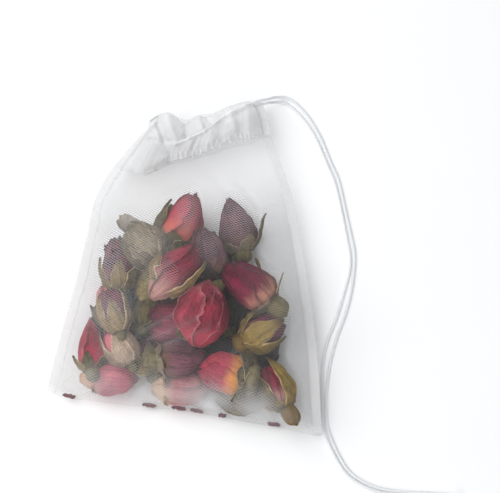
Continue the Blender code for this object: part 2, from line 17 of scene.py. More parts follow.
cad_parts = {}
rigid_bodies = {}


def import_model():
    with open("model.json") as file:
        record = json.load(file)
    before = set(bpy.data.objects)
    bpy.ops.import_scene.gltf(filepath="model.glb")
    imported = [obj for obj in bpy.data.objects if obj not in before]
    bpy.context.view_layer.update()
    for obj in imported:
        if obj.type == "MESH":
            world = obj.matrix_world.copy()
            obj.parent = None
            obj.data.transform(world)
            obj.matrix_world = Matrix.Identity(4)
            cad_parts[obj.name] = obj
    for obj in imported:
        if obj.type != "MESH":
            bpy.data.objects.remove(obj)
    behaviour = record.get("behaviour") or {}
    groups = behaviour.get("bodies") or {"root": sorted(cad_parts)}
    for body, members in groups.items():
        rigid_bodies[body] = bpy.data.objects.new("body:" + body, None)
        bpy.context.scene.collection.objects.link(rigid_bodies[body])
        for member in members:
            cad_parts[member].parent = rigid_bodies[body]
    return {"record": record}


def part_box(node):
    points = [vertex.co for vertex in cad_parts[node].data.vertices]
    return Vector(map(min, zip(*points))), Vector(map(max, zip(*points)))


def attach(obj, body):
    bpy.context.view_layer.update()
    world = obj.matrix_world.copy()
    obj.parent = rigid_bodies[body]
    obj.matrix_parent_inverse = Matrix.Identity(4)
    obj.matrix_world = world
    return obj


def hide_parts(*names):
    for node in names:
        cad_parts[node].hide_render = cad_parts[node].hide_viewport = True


MM = 0.001

# The camera: where it looks, from which side, and how large the bag comes out
AIM = Vector((9.2, 4.0, 0.0)) * MM
AZIMUTH = math.radians(9.4)
ELEVATION = math.radians(78.0)
LENS = 135.0
SENSOR = 36.0
PICTURE_WIDTH = 500
MM_PER_PIXEL = 0.2575

# Soft light: the room's strength and colour, and each lamp's name, size, power and place
ROOM_LIGHT = 0.37
ROOM_COLOUR = (0.95, 0.97, 1.0)
LAMPS = (("window", 0.7, 3.95, (-0.33, 0.06, 0.52)), ("fill", 0.6, 1.3, (0.15, -0.5, 0.5)))
FLOOR_REACH = 1.5

# The drawstring: its thickness, its plies, the length of one turn, and the step between points along it
CORD = 0.8 * MM
PLIES = 3
PLY_OFFSET = CORD * 0.25
PLY_RADIUS = CORD * 0.27
PLY_TURN = 2.6 * MM
PLY_STEP = 0.22 * MM
PLY_SIDES = 7


def on_floor(*places):
    """Places in millimetres where the cord's middle lies its own radius above the floor."""
    return [(x, y, 0.4) for x, y in places]


# The free strands' routes in millimetres: x, y and height of the cord's middle
STRAND_A = ((7.6, 42.2, 5.2), (9.8, 44.1, 1.8), *on_floor(
    (12.8, 44.5), (16.3, 42.5), (19.5, 39.4), (22.6, 35.4), (26.3, 29.2), (29, 24.8), (32.1, 16.9),
    (34.4, 10.9), (35.9, 6.7), (36.5, 2.2), (36.6, -3.9), (36, -10), (34.8, -16.2), (34.2, -22.6),
    (34.4, -29.3), (35, -33.6), (35.9, -38.3), (37.7, -41.9), (40, -45.4), (42.7, -48.5), (45.8, -50.4),
    (50.4, -51.7), (55.9, -51.8), (63.4, -51), (70, -50.4)))
STRAND_B = ((7.8, 41.5, 4.2), (9.9, 42.9, 1.2), *on_floor(
    (12.4, 43.1), (15.6, 41.2), (18.7, 38.4), (21.8, 34.5), (25.5, 28.4), (28.1, 24.1), (31.2, 16.3),
    (33.4, 10.2), (34.8, 6.2), (35.4, 2), (34.9, -4.2), (34.1, -10.3), (32.8, -16.5), (32.4, -21.4),
    (32.9, -27.2), (33.9, -33.3), (34.9, -38.7), (36.8, -42.5), (39.3, -46.1), (42.1, -49.3), (45.4, -51.3),
    (50.3, -52.7), (56.1, -52.9), (63.5, -52.3), (70, -51.8)))

# The cord's run inside the hem: along its front, round its left end and back underneath
HEM_ROUTE = (
    (7.6, 42.2, 5.2), (4.9, 40.5, 7.2), (2.2, 38.3, 8.2), (-2.6, 34.4, 8.5), (-5.1, 32.2, 8.5),
    (-7.6, 29.8, 8.5), (-11.2, 27, 8.3), (-15.6, 25.5, 7.6), (-19.4, 25.6, 6.6), (-21.3, 26.6, 5.5),
    (-19.2, 27.4, 4.2), (-15.6, 27, 3.4), (-11.2, 28.4, 2.8), (-7.6, 31.2, 2.8), (-5.1, 33.6, 2.8),
    (-2.6, 35.8, 2.8), (2.2, 39.2, 3.2), (5, 40.6, 3.8), (7.8, 41.5, 4.2),
)

# The bag's cloth, cut as one strip and folded in the middle
FLAT_WIDTH = 70.0 * MM
POUCH_LENGTH = 83.0 * MM
SEAM_WIDTH = 2.3 * MM
# Where the seal and the rim lie, as shares of the way from the fold to the rim
SEAL_SHARE = 0.84
RIM_SHARE = 0.995
# How high the fold and the rim lie, and the room between the cloth's two sides at a seam and in the hem
FOLD_HEIGHT = 2.6 * MM
MOUTH_HEIGHT = 5.5 * MM
SEAM_GAP = 0.12 * MM
HEM_GAP = 0.2 * MM
# The hem's channel: its depth, the least it closes to, and how far up the hem it is widest
CHANNEL = 1.9 * MM
FACING_GAP = 0.06 * MM
CROWN = 0.4
# A height below everything, for places where there is nothing
NOWHERE = -1.0
# How far the cloth stays above the buds and the CAD bag's underside, and may sag below the CAD bag
CLOTH_CLEARANCE = 0.3 * MM
BACK_CLEARANCE = 0.05 * MM
CLOTH_SAG = 6.0 * MM
# The neck: how high the gathers stand in the pouch and in the hem, and how far down they reach; how deep
# and how wide the seal draws the cloth in; and the small wrinkles all over
POUCH_GATHER = 0.25 * MM
HEM_GATHER = 0.06 * MM
GATHER_REACH = 8.0 * MM
SEAL_DIP = 1.2 * MM
SEAL_REACH = 1.8 * MM
WRINKLE = 0.3 * MM
WRINKLE_SCALE = 140.0

# The bag's side lines in millimetres: share of the way from the fold to the rim, x and y
LEFT_EDGE = (
    (0, -35, -41.4), (0.185, -33.9, -28.3), (0.306, -33.1, -19.8), (0.433, -32.4, -10.8),
    (0.579, -32, -0.4), (0.692, -31.8, 7.6), (0.793, -29.9, 14.5), (0.84, -28.6, 17.6),
    (0.872, -27.1, 20.4), (0.945, -23.4, 26.8), (0.972, -21.8, 28.9), (1, -21.5, 31.4),
)
RIGHT_EDGE = (
    (0, 35, -41.3), (0.039, 34.2, -37.8), (0.226, 30.3, -20.8), (0.377, 26.4, -7.4), (0.515, 22.4, 4.8),
    (0.644, 18.6, 16.1), (0.731, 15, 23.3), (0.828, 10.7, 31.2), (0.84, 10.3, 32), (0.928, 8.2, 37.6),
    (1, 5.8, 41.5),
)
# How far the rim, the seal and the fold stray from a straight line: place across, and distance
RIM_STRAY = (
    (-1, 0), (-0.88, 1), (-0.66, 0.9), (-0.52, -0.4), (-0.4, -2.2), (-0.31, -2.9), (-0.1, -1.7), (0.04, -2),
    (0.17, -1.8), (0.3, -1), (0.41, -0.5), (0.58, 0), (0.72, 0.2), (0.93, -0.2), (1, 0),
)
SEAL_STRAY = (
    (-1, 0), (-0.78, -2.6), (-0.54, -4.7), (-0.28, -2.5), (-0.11, -2.4), (0.1, -1.7), (0.27, -1),
    (0.45, 0.3), (0.6, 0.5), (0.72, 0), (0.88, 0.8), (1, 0),
)
FOLD_STRAY = (
    (-1, 0), (-0.86, -1.2), (-0.6, -0.8), (-0.32, -0.4), (0, 0.3), (0.3, 0.3), (0.7, 0), (0.93, -0.4),
    (1, 0),
)
BACK_STRAY = 0.55

# Folds of the neck in millimetres: from x, y to x, y, then width, height and how white the crest is painted,
# a painted highlight; the last three rows are painted highlight streaks over the pile
FOLDS = (
    (-15.6, 25.4, -13.2, 24.9, 0.5, 0.3, 0.3), (-13.2, 24.9, -10.2, 27, 0.45, 0.6, 0.9),
    (-10.2, 27, -6.7, 29.4, 0.45, 0.6, 0.9), (-6.7, 29.4, -2.6, 34.2, 0.4, 0.4, 0.7),
    (-2.6, 34.2, 2.2, 38.3, 0.4, 0.4, 0.7), (2.2, 38.3, 5.4, 40.6, 0.4, 0.4, 0.6),
    (-19.7, 16.9, -17.2, 18.2, 0.5, -0.6, 0), (-17.2, 18.2, -14.7, 20.6, 0.5, -0.8, 0),
    (-14.4, 22.5, -13.5, 16, 1.2, -0.9, 0), (-6.6, 21.5, 1.1, 14.3, 1, -0.7, 0),
    (3.5, 17.9, 9.6, 12.5, 0.9, -0.7, 0), (-11, 17.5, -4, 16, 2.4, 0.8, 0),
    (-20.6, 30.6, -17.7, 25.8, 0.9, 0.7, 0.15), (-19, 29.5, -16.5, 25, 0.6, -0.6, 0),
    (-17, 33, -13.9, 26.5, 1, 0.8, 0.15), (-12.2, 31.8, -11.2, 27.6, 0.7, -1.3, 0),
    (-9.4, 34, -7.6, 30.4, 0.7, 0.7, 0.15), (-7.6, 34.4, -5.4, 31.5, 0.5, -0.6, 0),
    (-2.2, 37.6, 1.1, 31.1, 0.9, 0.4, 0.05), (-9, 24.5, -8.2, 27.4, 0.5, -0.5, 0),
    (-4.5, 30, 0.5, 34, 0.8, -0.4, 0), (-14.3, -25.5, -5.6, -20, 0.35, 0.15, 0.12),
    (-11.3, -26.7, 0.8, -20.5, 0.35, 0.15, 0.1), (-7.2, -27.4, 3.6, -22.6, 0.35, 0.15, 0.1),
)
# Milky patches of the cloth: x and y in millimetres, reach along each, and strength
FOG = (
    (-23, -39, 7, 4, 0.3), (-7, -38.6, 7, 3.8, 0.34), (4, -38.6, 8, 3.6, 0.46), (17.6, -38.7, 5, 4, 0.52),
    (-19.5, -31.5, 5, 6, 0.06), (-20.5, -22.5, 5, 5, 0.05),
)
# Painted sheen: where the mesh is painted as catching the light, its threads show more, in the same way
SHEEN = (
    (-17, -3, 9, 8, 0.44), (-24.5, -8, 6, 9, 0.5), (-10.5, -10.8, 6, 5, 0.38), (5, 8, 6, 8, 0.52),
    (-0.5, -1, 4.5, 6, 0.34), (-7, 7, 3.6, 7, 0.5), (-8.2, -25.5, 8, 4, 0.22), (-22, -20, 7, 8, 0.4),
    (-19, 6, 6, 7, 0.42), (12, -30, 7, 6, 0.2), (20, -16, 8, 9, 0.26), (-16, -32, 8, 6, 0.26),
    (27, -34, 6, 8, 0.05),
)
# The stitched seal under the hem, in millimetres, and its puckers
SEAL = ((-15.5, 20.6), (-11.3, 22.3), (-8.5, 22.6), (-6.2, 24.5), (-3.5, 26.2), (-1.2, 27.6), (1.6, 29.2),
        (4.2, 30), (6.7, 31.8), (8.6, 33.2))
PUCKERS = 21

# What makes the cloth milky: a trace everywhere, leaning to the light, its fold, seams and hem, lying on no
# buds (more so low down and to the right), being turned in, and being at the back
CLEAR_HAZE = 0.005
LEAN_HAZE = 0.05
FOLD_HAZE = 0.12
SEAM_HAZE = 0.16
HEM_HAZE = 0.13
EMPTY_HAZE = 0.05
LOW_HAZE = 0.24
RIGHT_HAZE = 0.12
FACING_HAZE = 0.10
BACK_HAZE = 0.05
BACK_SEAM_HAZE = 0.22
# How much the threads show, and how white and opaque the hem is painted, a painted light that lifts its shade
FRONT_WEAVE = 0.10
BACK_WEAVE = 0.03
HEM_PAINTED_LIGHT = 0.46
# How far up the seams the welded dots fade out
WELD_FADE = 0.6

# How fine the cloth is, and how often it is evened out
COLUMNS = 210
POUCH_ROWS = 190
HEM_ROWS = 52
FACING_ROWS = 14
BACK_ROWS = 70
STRETCH_ROUNDS = 1500
COVER_ROUNDS = 40

# The weave: the distance between threads, their slant, their edges as shares of that distance, and the
# distance between the seams' welded dots in millimetres
THREAD_PITCH = 0.57 * MM
THREAD_SLANT = math.radians(29.0)
THREAD_EDGE = (0.05, 0.14)
DOT_PITCH = 0.7


def smooth_line(points, per_span=24):
    """A smooth curve through given points, as closely spaced points."""
    route = np.array(points, float)
    ends = np.vstack([2 * route[0] - route[1], route, 2 * route[-1] - route[-2]])
    share = np.linspace(0, 1, per_span, endpoint=False)[:, None]
    line = []
    for a, b, c, d in zip(ends, ends[1:], ends[2:], ends[3:]):
        line.append(0.5 * (2 * b + (c - a) * share + (2 * a - 5 * b + 4 * c - d) * share ** 2
                           + (3 * b - a - 3 * c + d) * share ** 3))
    return np.vstack(line + [route[-1:]])


def line_length(line):
    return float(np.linalg.norm(np.diff(line, axis=0), axis=1).sum())


def along(line, shares):
    """Points at given shares of a line's length."""
    steps = np.linalg.norm(np.diff(line, axis=0), axis=1)
    run = np.concatenate([[0.0], np.cumsum(steps)]) / steps.sum()
    return np.stack([np.interp(shares, run, line[:, k]) for k in range(line.shape[1])], axis=-1)


def eased(share):
    """0 to 1 with a soft start and a soft end."""
    share = np.clip(share, 0, 1)
    return share * share * (3 - 2 * share)


# Finishes

class Number:
    """A value that changes over a surface. Arithmetic on it adds Math nodes to its finish."""

    def __init__(self, finish, socket):
        self.finish = finish
        self.socket = socket

    def math(self, kind, *others, clamp=False):
        return self.finish.node("ShaderNodeMath", {"operation": kind, "use_clamp": clamp}, (self, *others))

    def __add__(self, other):
        return self.math("ADD", other)

    def __sub__(self, other):
        return self.math("SUBTRACT", other)

    def __rsub__(self, other):
        return self.finish.node("ShaderNodeMath", {"operation": "SUBTRACT"}, (other, self))

    def __mul__(self, other):
        return self.math("MULTIPLY", other)

    __radd__ = __add__
    __rmul__ = __mul__

    def clamped(self):
        return self.math("ADD", 0.0, clamp=True)

    def larger(self, other):
        return self.math("MAXIMUM", other)

    def sine(self):
        return self.math("SINE")

    def fraction(self):
        return self.math("FRACT")

    def size(self):
        return self.math("ABSOLUTE")

    def step(self, low, high):
        """0 below low, 1 above high and smooth between them."""
        return self.finish.node(
            "ShaderNodeMapRange", {"interpolation_type": "SMOOTHSTEP"},
            {"Value": self, "From Min": low, "From Max": high})


class Finish:
    """One finish: a Principled shader and the nodes that feed it."""

    def __init__(self, name, **constants):
        self.material = bpy.data.materials.new(name)
        self.material.use_nodes = True
        self.tree = self.material.node_tree
        self.shader = self.tree.nodes["Principled BSDF"]
        self.set(**constants)

    def node(self, kind, settings=None, inputs=None, output=0):
        """Adds a node, with its settings first, and gives one of its outputs."""
        node = self.tree.nodes.new(kind)
        for name, value in (settings or {}).items():
            setattr(node, name, value)
        feeds = inputs.items() if isinstance(inputs, dict) else enumerate(inputs or ())
        for key, value in feeds:
            self.feed(node.inputs[key], value)
        return Number(self, node.outputs[output])

    def feed(self, socket, value):
        if isinstance(value, Number):
            self.tree.links.new(value.socket, socket)
        else:
            socket.default_value = value

    def set(self, **values):
        """Feeds the shader's own sockets."""
        for name, value in values.items():
            self.feed(self.shader.inputs[name.replace("_", " ")], value)

    def uv(self):
        return self.node("ShaderNodeTexCoord", output="UV")

    def place(self):
        return self.node("ShaderNodeTexCoord", output="Object")

    def parts(self, vector):
        return [self.node("ShaderNodeSeparateXYZ", {}, {0: vector}, k) for k in range(3)]

    def attribute(self, name):
        return self.node("ShaderNodeAttribute", {"attribute_name": name}, output="Fac")

    def noise(self, scale, detail=3.0, roughness=0.55, vector=None):
        """Even noise over the piece, or over another vector."""
        return self.node("ShaderNodeTexNoise", {}, {
            "Vector": vector or self.place(), "Scale": scale, "Detail": detail, "Roughness": roughness})

    def streaks(self, across, along, detail, roughness=0.55):
        """Noise that is drawn out along a leaf."""
        scaled = self.node("ShaderNodeMapping", {}, {"Vector": self.uv(), "Scale": (across, along, 1.0)})
        return self.noise(1.0, detail, roughness, scaled)

    def mix(self, share, first, second):
        """A colour between two colours."""
        return self.node(
            "ShaderNodeMix", {"data_type": "RGBA"}, {0: share, 6: rgba(first), 7: rgba(second)}, 2)

    def bump(self, height, distance, strength=1.0):
        return self.node(
            "ShaderNodeBump", {}, {"Strength": strength, "Distance": distance, "Height": height})


def rgba(colour):
    return colour if isinstance(colour, Number) else (*colour, 1.0)


def cloth_finish():
    """Sheer nylon mesh: thin slanting threads with clear holes, and haze."""
    finish = Finish("sheer nylon mesh", Roughness=0.34, Specular_IOR_Level=0.5)
    u, v = finish.parts(finish.uv())[:2]
    haze, white, weave, weld = map(finish.attribute, ("haze", "white", "weave", "weld"))

    def lines(slant):
        """One set of threads, side by side."""
        phase = u * (math.sin(slant) * MM / THREAD_PITCH) + v * (math.cos(slant) * MM / THREAD_PITCH)
        return 1.0 - (phase.fraction() - 0.5).size().step(*THREAD_EDGE)

    threads = lines(THREAD_SLANT).larger(lines(-THREAD_SLANT))
    turns = math.tau / DOT_PITCH
    dots = ((u * turns).sine() * (v * turns).sine()).step(0.1, 0.7) * weld
    cloudy = finish.noise(70.0) * 0.7 + 0.65
    fine = finish.noise(2600.0, 1.0)
    finish.set(
        # The grey base is painted paler in several places. Fold crests carry painted highlights and the hem
        # carries painted light over its shade. Seal puckers are partly heat-seal marks and partly painted
        # highlight. The welded dots are real.
        Base_Color=finish.mix((white + dots * 0.6).clamped(), (0.70, 0.70, 0.705), (1.0, 1.0, 1.0)),
        Alpha=(haze * cloudy + weave * threads + white * 0.5 + dots * 0.16).clamped(),
        Normal=finish.bump(threads * 0.5 + fine * 0.4 + dots, 0.05 * MM, 0.6))
    return finish


def cord_finish():
    """White twisted nylon, a little glossy, with a fine fibre."""
    finish = Finish("white nylon cord", Roughness=0.38, Subsurface_Weight=0.15)
    fibre = finish.noise(3200.0, 3.0)
    finish.set(Base_Color=finish.mix(fibre, (0.88, 0.885, 0.89), (0.99, 0.99, 0.99)),
               Normal=finish.bump(fibre, 0.04 * MM, 0.6))
    return finish


def petal_finish(name, deep, light, foot, rim, foot_reach=0.58):
    """Dry petal: veined along its length, paler at its foot, with a ragged edge of another shade."""
    finish = Finish(name, Roughness=0.62, Specular_IOR_Level=0.35)
    u, v = finish.parts(finish.uv())[:2]
    tone = finish.attribute("tone")
    veins = finish.streaks(17.0, 1.3, 5.0, 0.7)
    cloud = finish.noise(260.0, 4.0)
    colour = finish.mix((cloud * 1.6 + veins * 2.8 + tone * 0.6 - 2.05).clamped(), deep, light)
    root = 1.0 - (v + veins * 0.45 - cloud * 0.2).step(foot_reach * 0.38, foot_reach)
    colour = finish.mix(root * 0.9, colour, foot)
    sides = ((u - 0.5).size() * 2.0 + cloud * 0.3).step(1.02, 1.2)
    edge = sides.larger((v + cloud * 0.3).step(1.0, 1.22))
    colour = finish.mix(edge * 0.7, colour, rim)
    folds = finish.streaks(5.0, 0.9, 4.0, 0.6).step(0.52, 0.72)
    colour = finish.mix(folds * 0.4, colour, rim)
    crumple = finish.noise(620.0, 5.0, 0.65)
    finish.set(Base_Color=colour, Roughness=0.42 + veins * 0.3,
               Normal=finish.bump(veins * 0.9 + crumple, 0.9 * MM, 1.0))
    return finish


def sepal_finish(name, dark, light, rim):
    """Dry sepal: ribbed along its length, with pale curled rims."""
    finish = Finish(name, Roughness=0.68, Specular_IOR_Level=0.3)
    u, v = finish.parts(finish.uv())[:2]
    ribs = finish.streaks(14.0, 1.4, 4.0, 0.6)
    cloud = finish.noise(380.0, 4.0)
    tone = finish.attribute("tone")
    colour = finish.mix((ribs * 1.7 + cloud * 1.6 + tone * 0.7 - 1.65).clamped(), dark, light)
    spots = finish.noise(1400.0, 2.0).step(0.58, 0.7)
    colour = finish.mix(spots * 0.5, colour, SEPAL_SPOT)
    edge = ((u - 0.5).size() * 2.0 + cloud * 0.4).step(1.08, 1.22)
    colour = finish.mix(edge * 0.75, colour, rim)
    colour = finish.mix(v.step(0.75, 1.0) * 0.6, colour, SEPAL_TIP)
    finish.set(Base_Color=colour, Normal=finish.bump(ribs * 1.2 + cloud, 0.8 * MM, 1.0))
    return finish


def hip_finish(name, dark, light):
    """The round hip under the petals: golden brown, streaked towards its stem."""
    finish = Finish(name, Roughness=0.6, Specular_IOR_Level=0.2)
    streaks = finish.streaks(22.0, 2.0, 3.0)
    wrinkles = finish.noise(800.0, 4.0)
    colour = finish.mix((streaks * 1.3 + wrinkles * 0.8 - 0.6).clamped(), dark, light)
    finish.set(Base_Color=colour, Normal=finish.bump(wrinkles + streaks, 0.3 * MM, 0.9))
    return finish


# Petals: deep and light tone, foot, rim, and how far up the foot's colour reaches. Sepals: dark and light
# tone, rim. Hips: dark and light tone
PETALS = {
    "crimson": ((0.09, 0.001, 0.012), (0.46, 0.006, 0.050), (0.68, 0.34, 0.29), (0.04, 0.002, 0.008), 0.60),
    "rose": ((0.16, 0.002, 0.020), (0.52, 0.014, 0.060), (0.60, 0.035, 0.085), (0.72, 0.26, 0.27)),
    "salmon": ((0.22, 0.002, 0.040), (0.60, 0.036, 0.080), (0.76, 0.17, 0.115), (0.16, 0.003, 0.035), 0.74),
    "pink": ((0.52, 0.06, 0.14), (0.92, 0.24, 0.29), (0.95, 0.56, 0.30), (0.36, 0.05, 0.10)),
    "plum": ((0.08, 0.004, 0.020), (0.34, 0.050, 0.095), (0.30, 0.12, 0.10), (0.05, 0.008, 0.016)),
    "magenta": ((0.060, 0.001, 0.012), (0.26, 0.002, 0.045), (0.98, 0.46, 0.30), (0.045, 0.002, 0.010), 0.62),
    "flame": ((0.30, 0.002, 0.035), (0.74, 0.04, 0.09), (1.0, 0.42, 0.04), (0.26, 0.004, 0.03), 0.60),
    "mauve": ((0.045, 0.009, 0.018), (0.30, 0.085, 0.13), (0.20, 0.09, 0.06), (0.030, 0.012, 0.012)),
    "husk": ((0.13, 0.095, 0.050), (0.36, 0.27, 0.155), (0.30, 0.22, 0.12), (0.40, 0.31, 0.19)),
    "peach": ((0.44, 0.07, 0.11), (0.86, 0.30, 0.29), (1.0, 0.62, 0.30), (0.24, 0.05, 0.08)),
    # Near-black petals: dark dried petals, darkened further as painted shade for the gaps and hidden buds in
    # the pile
    "maroon": ((0.010, 0.002, 0.003), (0.045, 0.007, 0.013), (0.04, 0.02, 0.012), (0.010, 0.004, 0.004)),
}
SEPALS = {
    "olive": ((0.070, 0.052, 0.014), (0.36, 0.27, 0.09), (0.60, 0.46, 0.25)),
    "tan": ((0.17, 0.105, 0.030), (0.58, 0.38, 0.15), (0.86, 0.66, 0.40)),
    "blush": ((0.28, 0.18, 0.11), (0.72, 0.52, 0.36), (0.86, 0.70, 0.52)),
    "golden": ((0.09, 0.055, 0.007), (0.46, 0.30, 0.065), (0.66, 0.48, 0.22)),
    "grey": ((0.13, 0.095, 0.050), (0.36, 0.27, 0.155), (0.56, 0.45, 0.31)),
    # Near-black sepals: dark dried sepals, darkened further as painted shade for the gaps and hidden buds in
    # the pile
    "dark": ((0.010, 0.007, 0.004), (0.060, 0.042, 0.020), (0.10, 0.07, 0.04)),
    "pale": ((0.26, 0.23, 0.18), (0.55, 0.49, 0.40), (0.62, 0.55, 0.46)),
}
SEPAL_SPOT = (0.04, 0.025, 0.02)
SEPAL_TIP = (0.07, 0.035, 0.03)
HIPS = {
    "golden": ((0.06, 0.034, 0.006), (0.26, 0.15, 0.025)),
    "olive": ((0.07, 0.055, 0.02), (0.26, 0.21, 0.09)),
}


class Look(NamedTuple):
    """One bud's look. Angles run round its axis from its upper side, clockwise seen from its tip."""
    petals: str
    sepals: str
    roll: float = 0.0  # the petals' angle
    reach: float = 1.0  # how far along the bud the petals reach
    open: float = 0.5  # how far their tips stand off
    point: float = 0.5  # from 0, a blunt bud, to 1, a pointed one
    blades: tuple = ()  # the sepals: angle, reach, width, and how far the tip stands off
    swell: float = 1.0  # the bud's width against its solid's
    foot: float = 0.20  # where along the bud the petals start
    hip: float = 1.0  # the hip's width
    stem: float = 0.01  # how far the hip reaches out below the bud


def five(first, reach, width, peel):
    """Five sepals evenly round a bud, the first at an angle."""
    return tuple((first + 72 * k, reach * (1 + 0.12 * math.sin(k * 2.3 + first)), width,
                  peel * (1 + math.sin(k * 1.7 + first))) for k in range(5))


# One row for each bud, rosebud_01 first
BUDS = {f"rosebud_{number:02d}": Look(*row) for number, row in enumerate((
    ("pink", "tan", 0, 1, 0.6, 0.3, five(200, 0.2, 0.3, 0.03), 1.12, -0.04, 0.6),
    ("peach", "tan", 40, 1, 0.6, 0.2, five(200, 0.22, 0.3, 0.03), 1.05, -0.04, 0.6),
    ("husk", "grey", 20, 0.95, 0.3, 0.3, five(20, 0.85, 0.7, 0.02)),
    ("rose", "olive", 10, 1, 0.2, 0.9, (
        (70, 0.42, 0.44, 0.02), (-20, 0.34, 0.34, 0.03), (-90, 0.44, 0.4, 0.02), (140, 0.6, 0.6, 0.02),
        (215, 0.5, 0.6, 0.02)), 1.12, 0.14),
    ("mauve", "grey", 10, 0.98, 0.3, 0.4, five(10, 0.88, 0.72, 0.015), 1, 0.2, 1.2),
    # The near-black hidden buds with dark sepals stand partly for painted shade among the buds
    ("maroon", "dark", 60, 1, 0.5, 0.5, five(60, 0.6, 0.5, 0.04)),
    ("maroon", "dark", 15, 1, 0.5, 0.5, five(15, 0.6, 0.5, 0.04)),
    ("mauve", "olive", 30, 0.96, 0.3, 0.4, five(0, 0.9, 0.72, 0.02), 1.05, 0.2, 1.2),
    ("maroon", "dark", 50, 1, 0.5, 0.5, five(50, 0.6, 0.5, 0.04)),
    ("peach", "grey", 20, 1, 0.5, 0.2, five(20, 0.6, 0.5, 0.04)),
    ("maroon", "dark", 80, 1, 0.5, 0.5, five(80, 0.55, 0.5, 0.03)),
    ("mauve", "dark", 25, 1, 0.5, 0.5, five(25, 0.6, 0.5, 0.03)),
    ("mauve", "olive", 45, 1, 0.4, 0.5, five(45, 0.8, 0.6, 0.03)),
    ("plum", "tan", 30, 1, 1.4, 0, (
        (0, 0.6, 0.46, 0.03), (66, 0.64, 0.5, 0.02), (-72, 0.66, 0.5, 0.02), (140, 0.6, 0.6, 0.03),
        (215, 0.6, 0.6, 0.03)), 1, 0.2, 1.1),
    ("mauve", "grey", 12, 1, 0.6, 0.85, (
        (78, 0.62, 0.3, 0.1), (24, 0.34, 0.4, 0.03), (-50, 0.36, 0.45, 0.02), (-110, 0.5, 0.5, 0.02),
        (180, 0.6, 0.6, 0.02)), 1.04, 0.14),
    ("mauve", "grey", 25, 1, 0.6, 0.4, five(25, 0.3, 0.45, 0.01), 1.05),
    ("pink", "blush", 34, 0.92, 0.3, 0.5, five(0, 0.9, 0.66, 0.02), 1.05, 0.2, 0.7),
    ("plum", "tan", 22, 0.96, 0.5, 0.3, five(5, 0.8, 0.6, 0.02), 1, 0.2, 0.7),
    ("husk", "grey", 30, 0.95, 0.3, 0.3, (
        (0, 0.96, 0.95, 0), (72, 0.95, 0.85, 0.01), (-70, 0.88, 0.85, 0.02), (140, 0.9, 0.8, 0.01),
        (215, 0.9, 0.8, 0.01)), 1.06, 0.2, 1.1),
    ("mauve", "dark", 55, 1, 0.9, 0.3, five(55, 0.4, 0.4, 0.03), 1.1),
    ("magenta", "golden", 18, 0.92, 0.5, 0.5, (
        (10, 0.9, 0.56, 0.04), (75, 0.85, 0.6, 0.03), (-60, 0.66, 0.4, 0.06), (-120, 0.8, 0.5, 0.04),
        (160, 0.8, 0.6, 0.02)), 1, 0.2, 1.2),
    ("plum", "tan", 20, 1, 1.2, 0, five(180, 0.4, 0.4, 0.02), 1.15, -0.04, 0.6),
    ("salmon", "olive", 38, 1, 0.5, 0.65, (
        (-76, 0.78, 0.6, 0.03), (-4, 0.32, 0.5, 0.02), (44, 0.3, 0.4, 0.03), (120, 0.5, 0.5, 0.02),
        (-125, 0.8, 0.6, 0.02)), 1.15, 0.16),
    ("magenta", "grey", 30, 1, 0.8, 0.6, (
        (76, 0.3, 0.3, 0.05), (140, 0.4, 0.4, 0.03), (-55, 0.24, 0.4, 0.05), (-130, 0.36, 0.4, 0.02),
        (10, 0.21, 0.5, 0.03)), 1.08, 0.03, 1.05, 0.11),
    ("crimson", "tan", 36, 1, 0.6, 0.6, (
        (-72, 0.62, 0.8, 0.02), (66, 0.88, 0.42, 0.05), (190, 0.5, 0.5, 0.02), (135, 0.8, 0.7, 0.03),
        (-140, 0.6, 0.6, 0.02)), 1.08, -0.03, 0.8),
    ("crimson", "golden", 36, 0.84, 0.3, 0.5, (
        (-42, 0.98, 0.5, 0.02), (50, 0.92, 0.55, 0.02), (125, 0.9, 0.5, 0.02), (-115, 0.9, 0.45, 0.02),
        (180, 0.8, 0.5, 0.02)), 1, 0.2, 0.95, 0.14),
    ("flame", "olive", 32, 1, 0.6, 0.2, five(215, 0.4, 0.9, 0.01), 1.1, 0.27, 1.5),
    ("rose", "tan", 30, 1.02, 0.1, 0.42, (
        (170, 0.3, 0.4, 0), (190, 0.3, 0.4, 0)), 1.2, -0.05, 0.6),
), 1)}

# Leaves that stick out of the pile: x, y, height, heading, length, width, tilt, and a sepal's colour, in
# millimetres and degrees
LEAVES = (
    (-21, 1.8, 12.2, 150, 7.4, 4.5, 6, "pale"), (-14, -12.6, 15.2, 78, 8.6, 4.6, -14, "olive"),
    (12.4, -2.6, 11, 118, 4.4, 0.8, 20, "grey"), (-12, -32, 8.6, 80, 6, 4, 4, "olive"),
    (14.2, -27.6, 9, -60, 7.6, 4.4, -4, "golden"),
)

# A bud's radius against half its width, from its stem to its tip: with a hidden hip, blunt and pointed
FULL = ((-0.06, 0.16), (0, 0.42), (0.08, 0.66), (0.2, 0.88), (0.36, 0.98), (0.55, 1), (0.74, 0.9),
        (0.86, 0.7), (0.95, 0.42), (1.02, 0.1))
BLUNT = ((0, 0.1), (0.1, 0.38), (0.2, 0.44), (0.3, 0.78), (0.42, 0.96), (0.58, 1), (0.74, 0.92),
         (0.86, 0.72), (0.95, 0.42), (1.02, 0.1))
POINTED = ((0, 0.1), (0.1, 0.38), (0.18, 0.44), (0.26, 0.8), (0.36, 1), (0.48, 0.96), (0.66, 0.72),
           (0.82, 0.42), (0.94, 0.18), (1.02, 0.04))
HIP_PROFILE = ((0, 0), (0.03, 0.11), (0.07, 0.13), (0.1, 0.26), (0.17, 0.39), (0.27, 0.47), (0.42, 0.51),
               (0.58, 0.5), (0.76, 0.45), (0.9, 0.38), (1, 0))
HIP_REACH = 0.26
SEPAL_FOOT = 0.17

# A bud's whorls of petals: how many, how far out, and how much further along they reach
WHORLS = ((3, 0.7, 0.03), (3, 0.82, 0.01), (3, 0.93, -0.03))
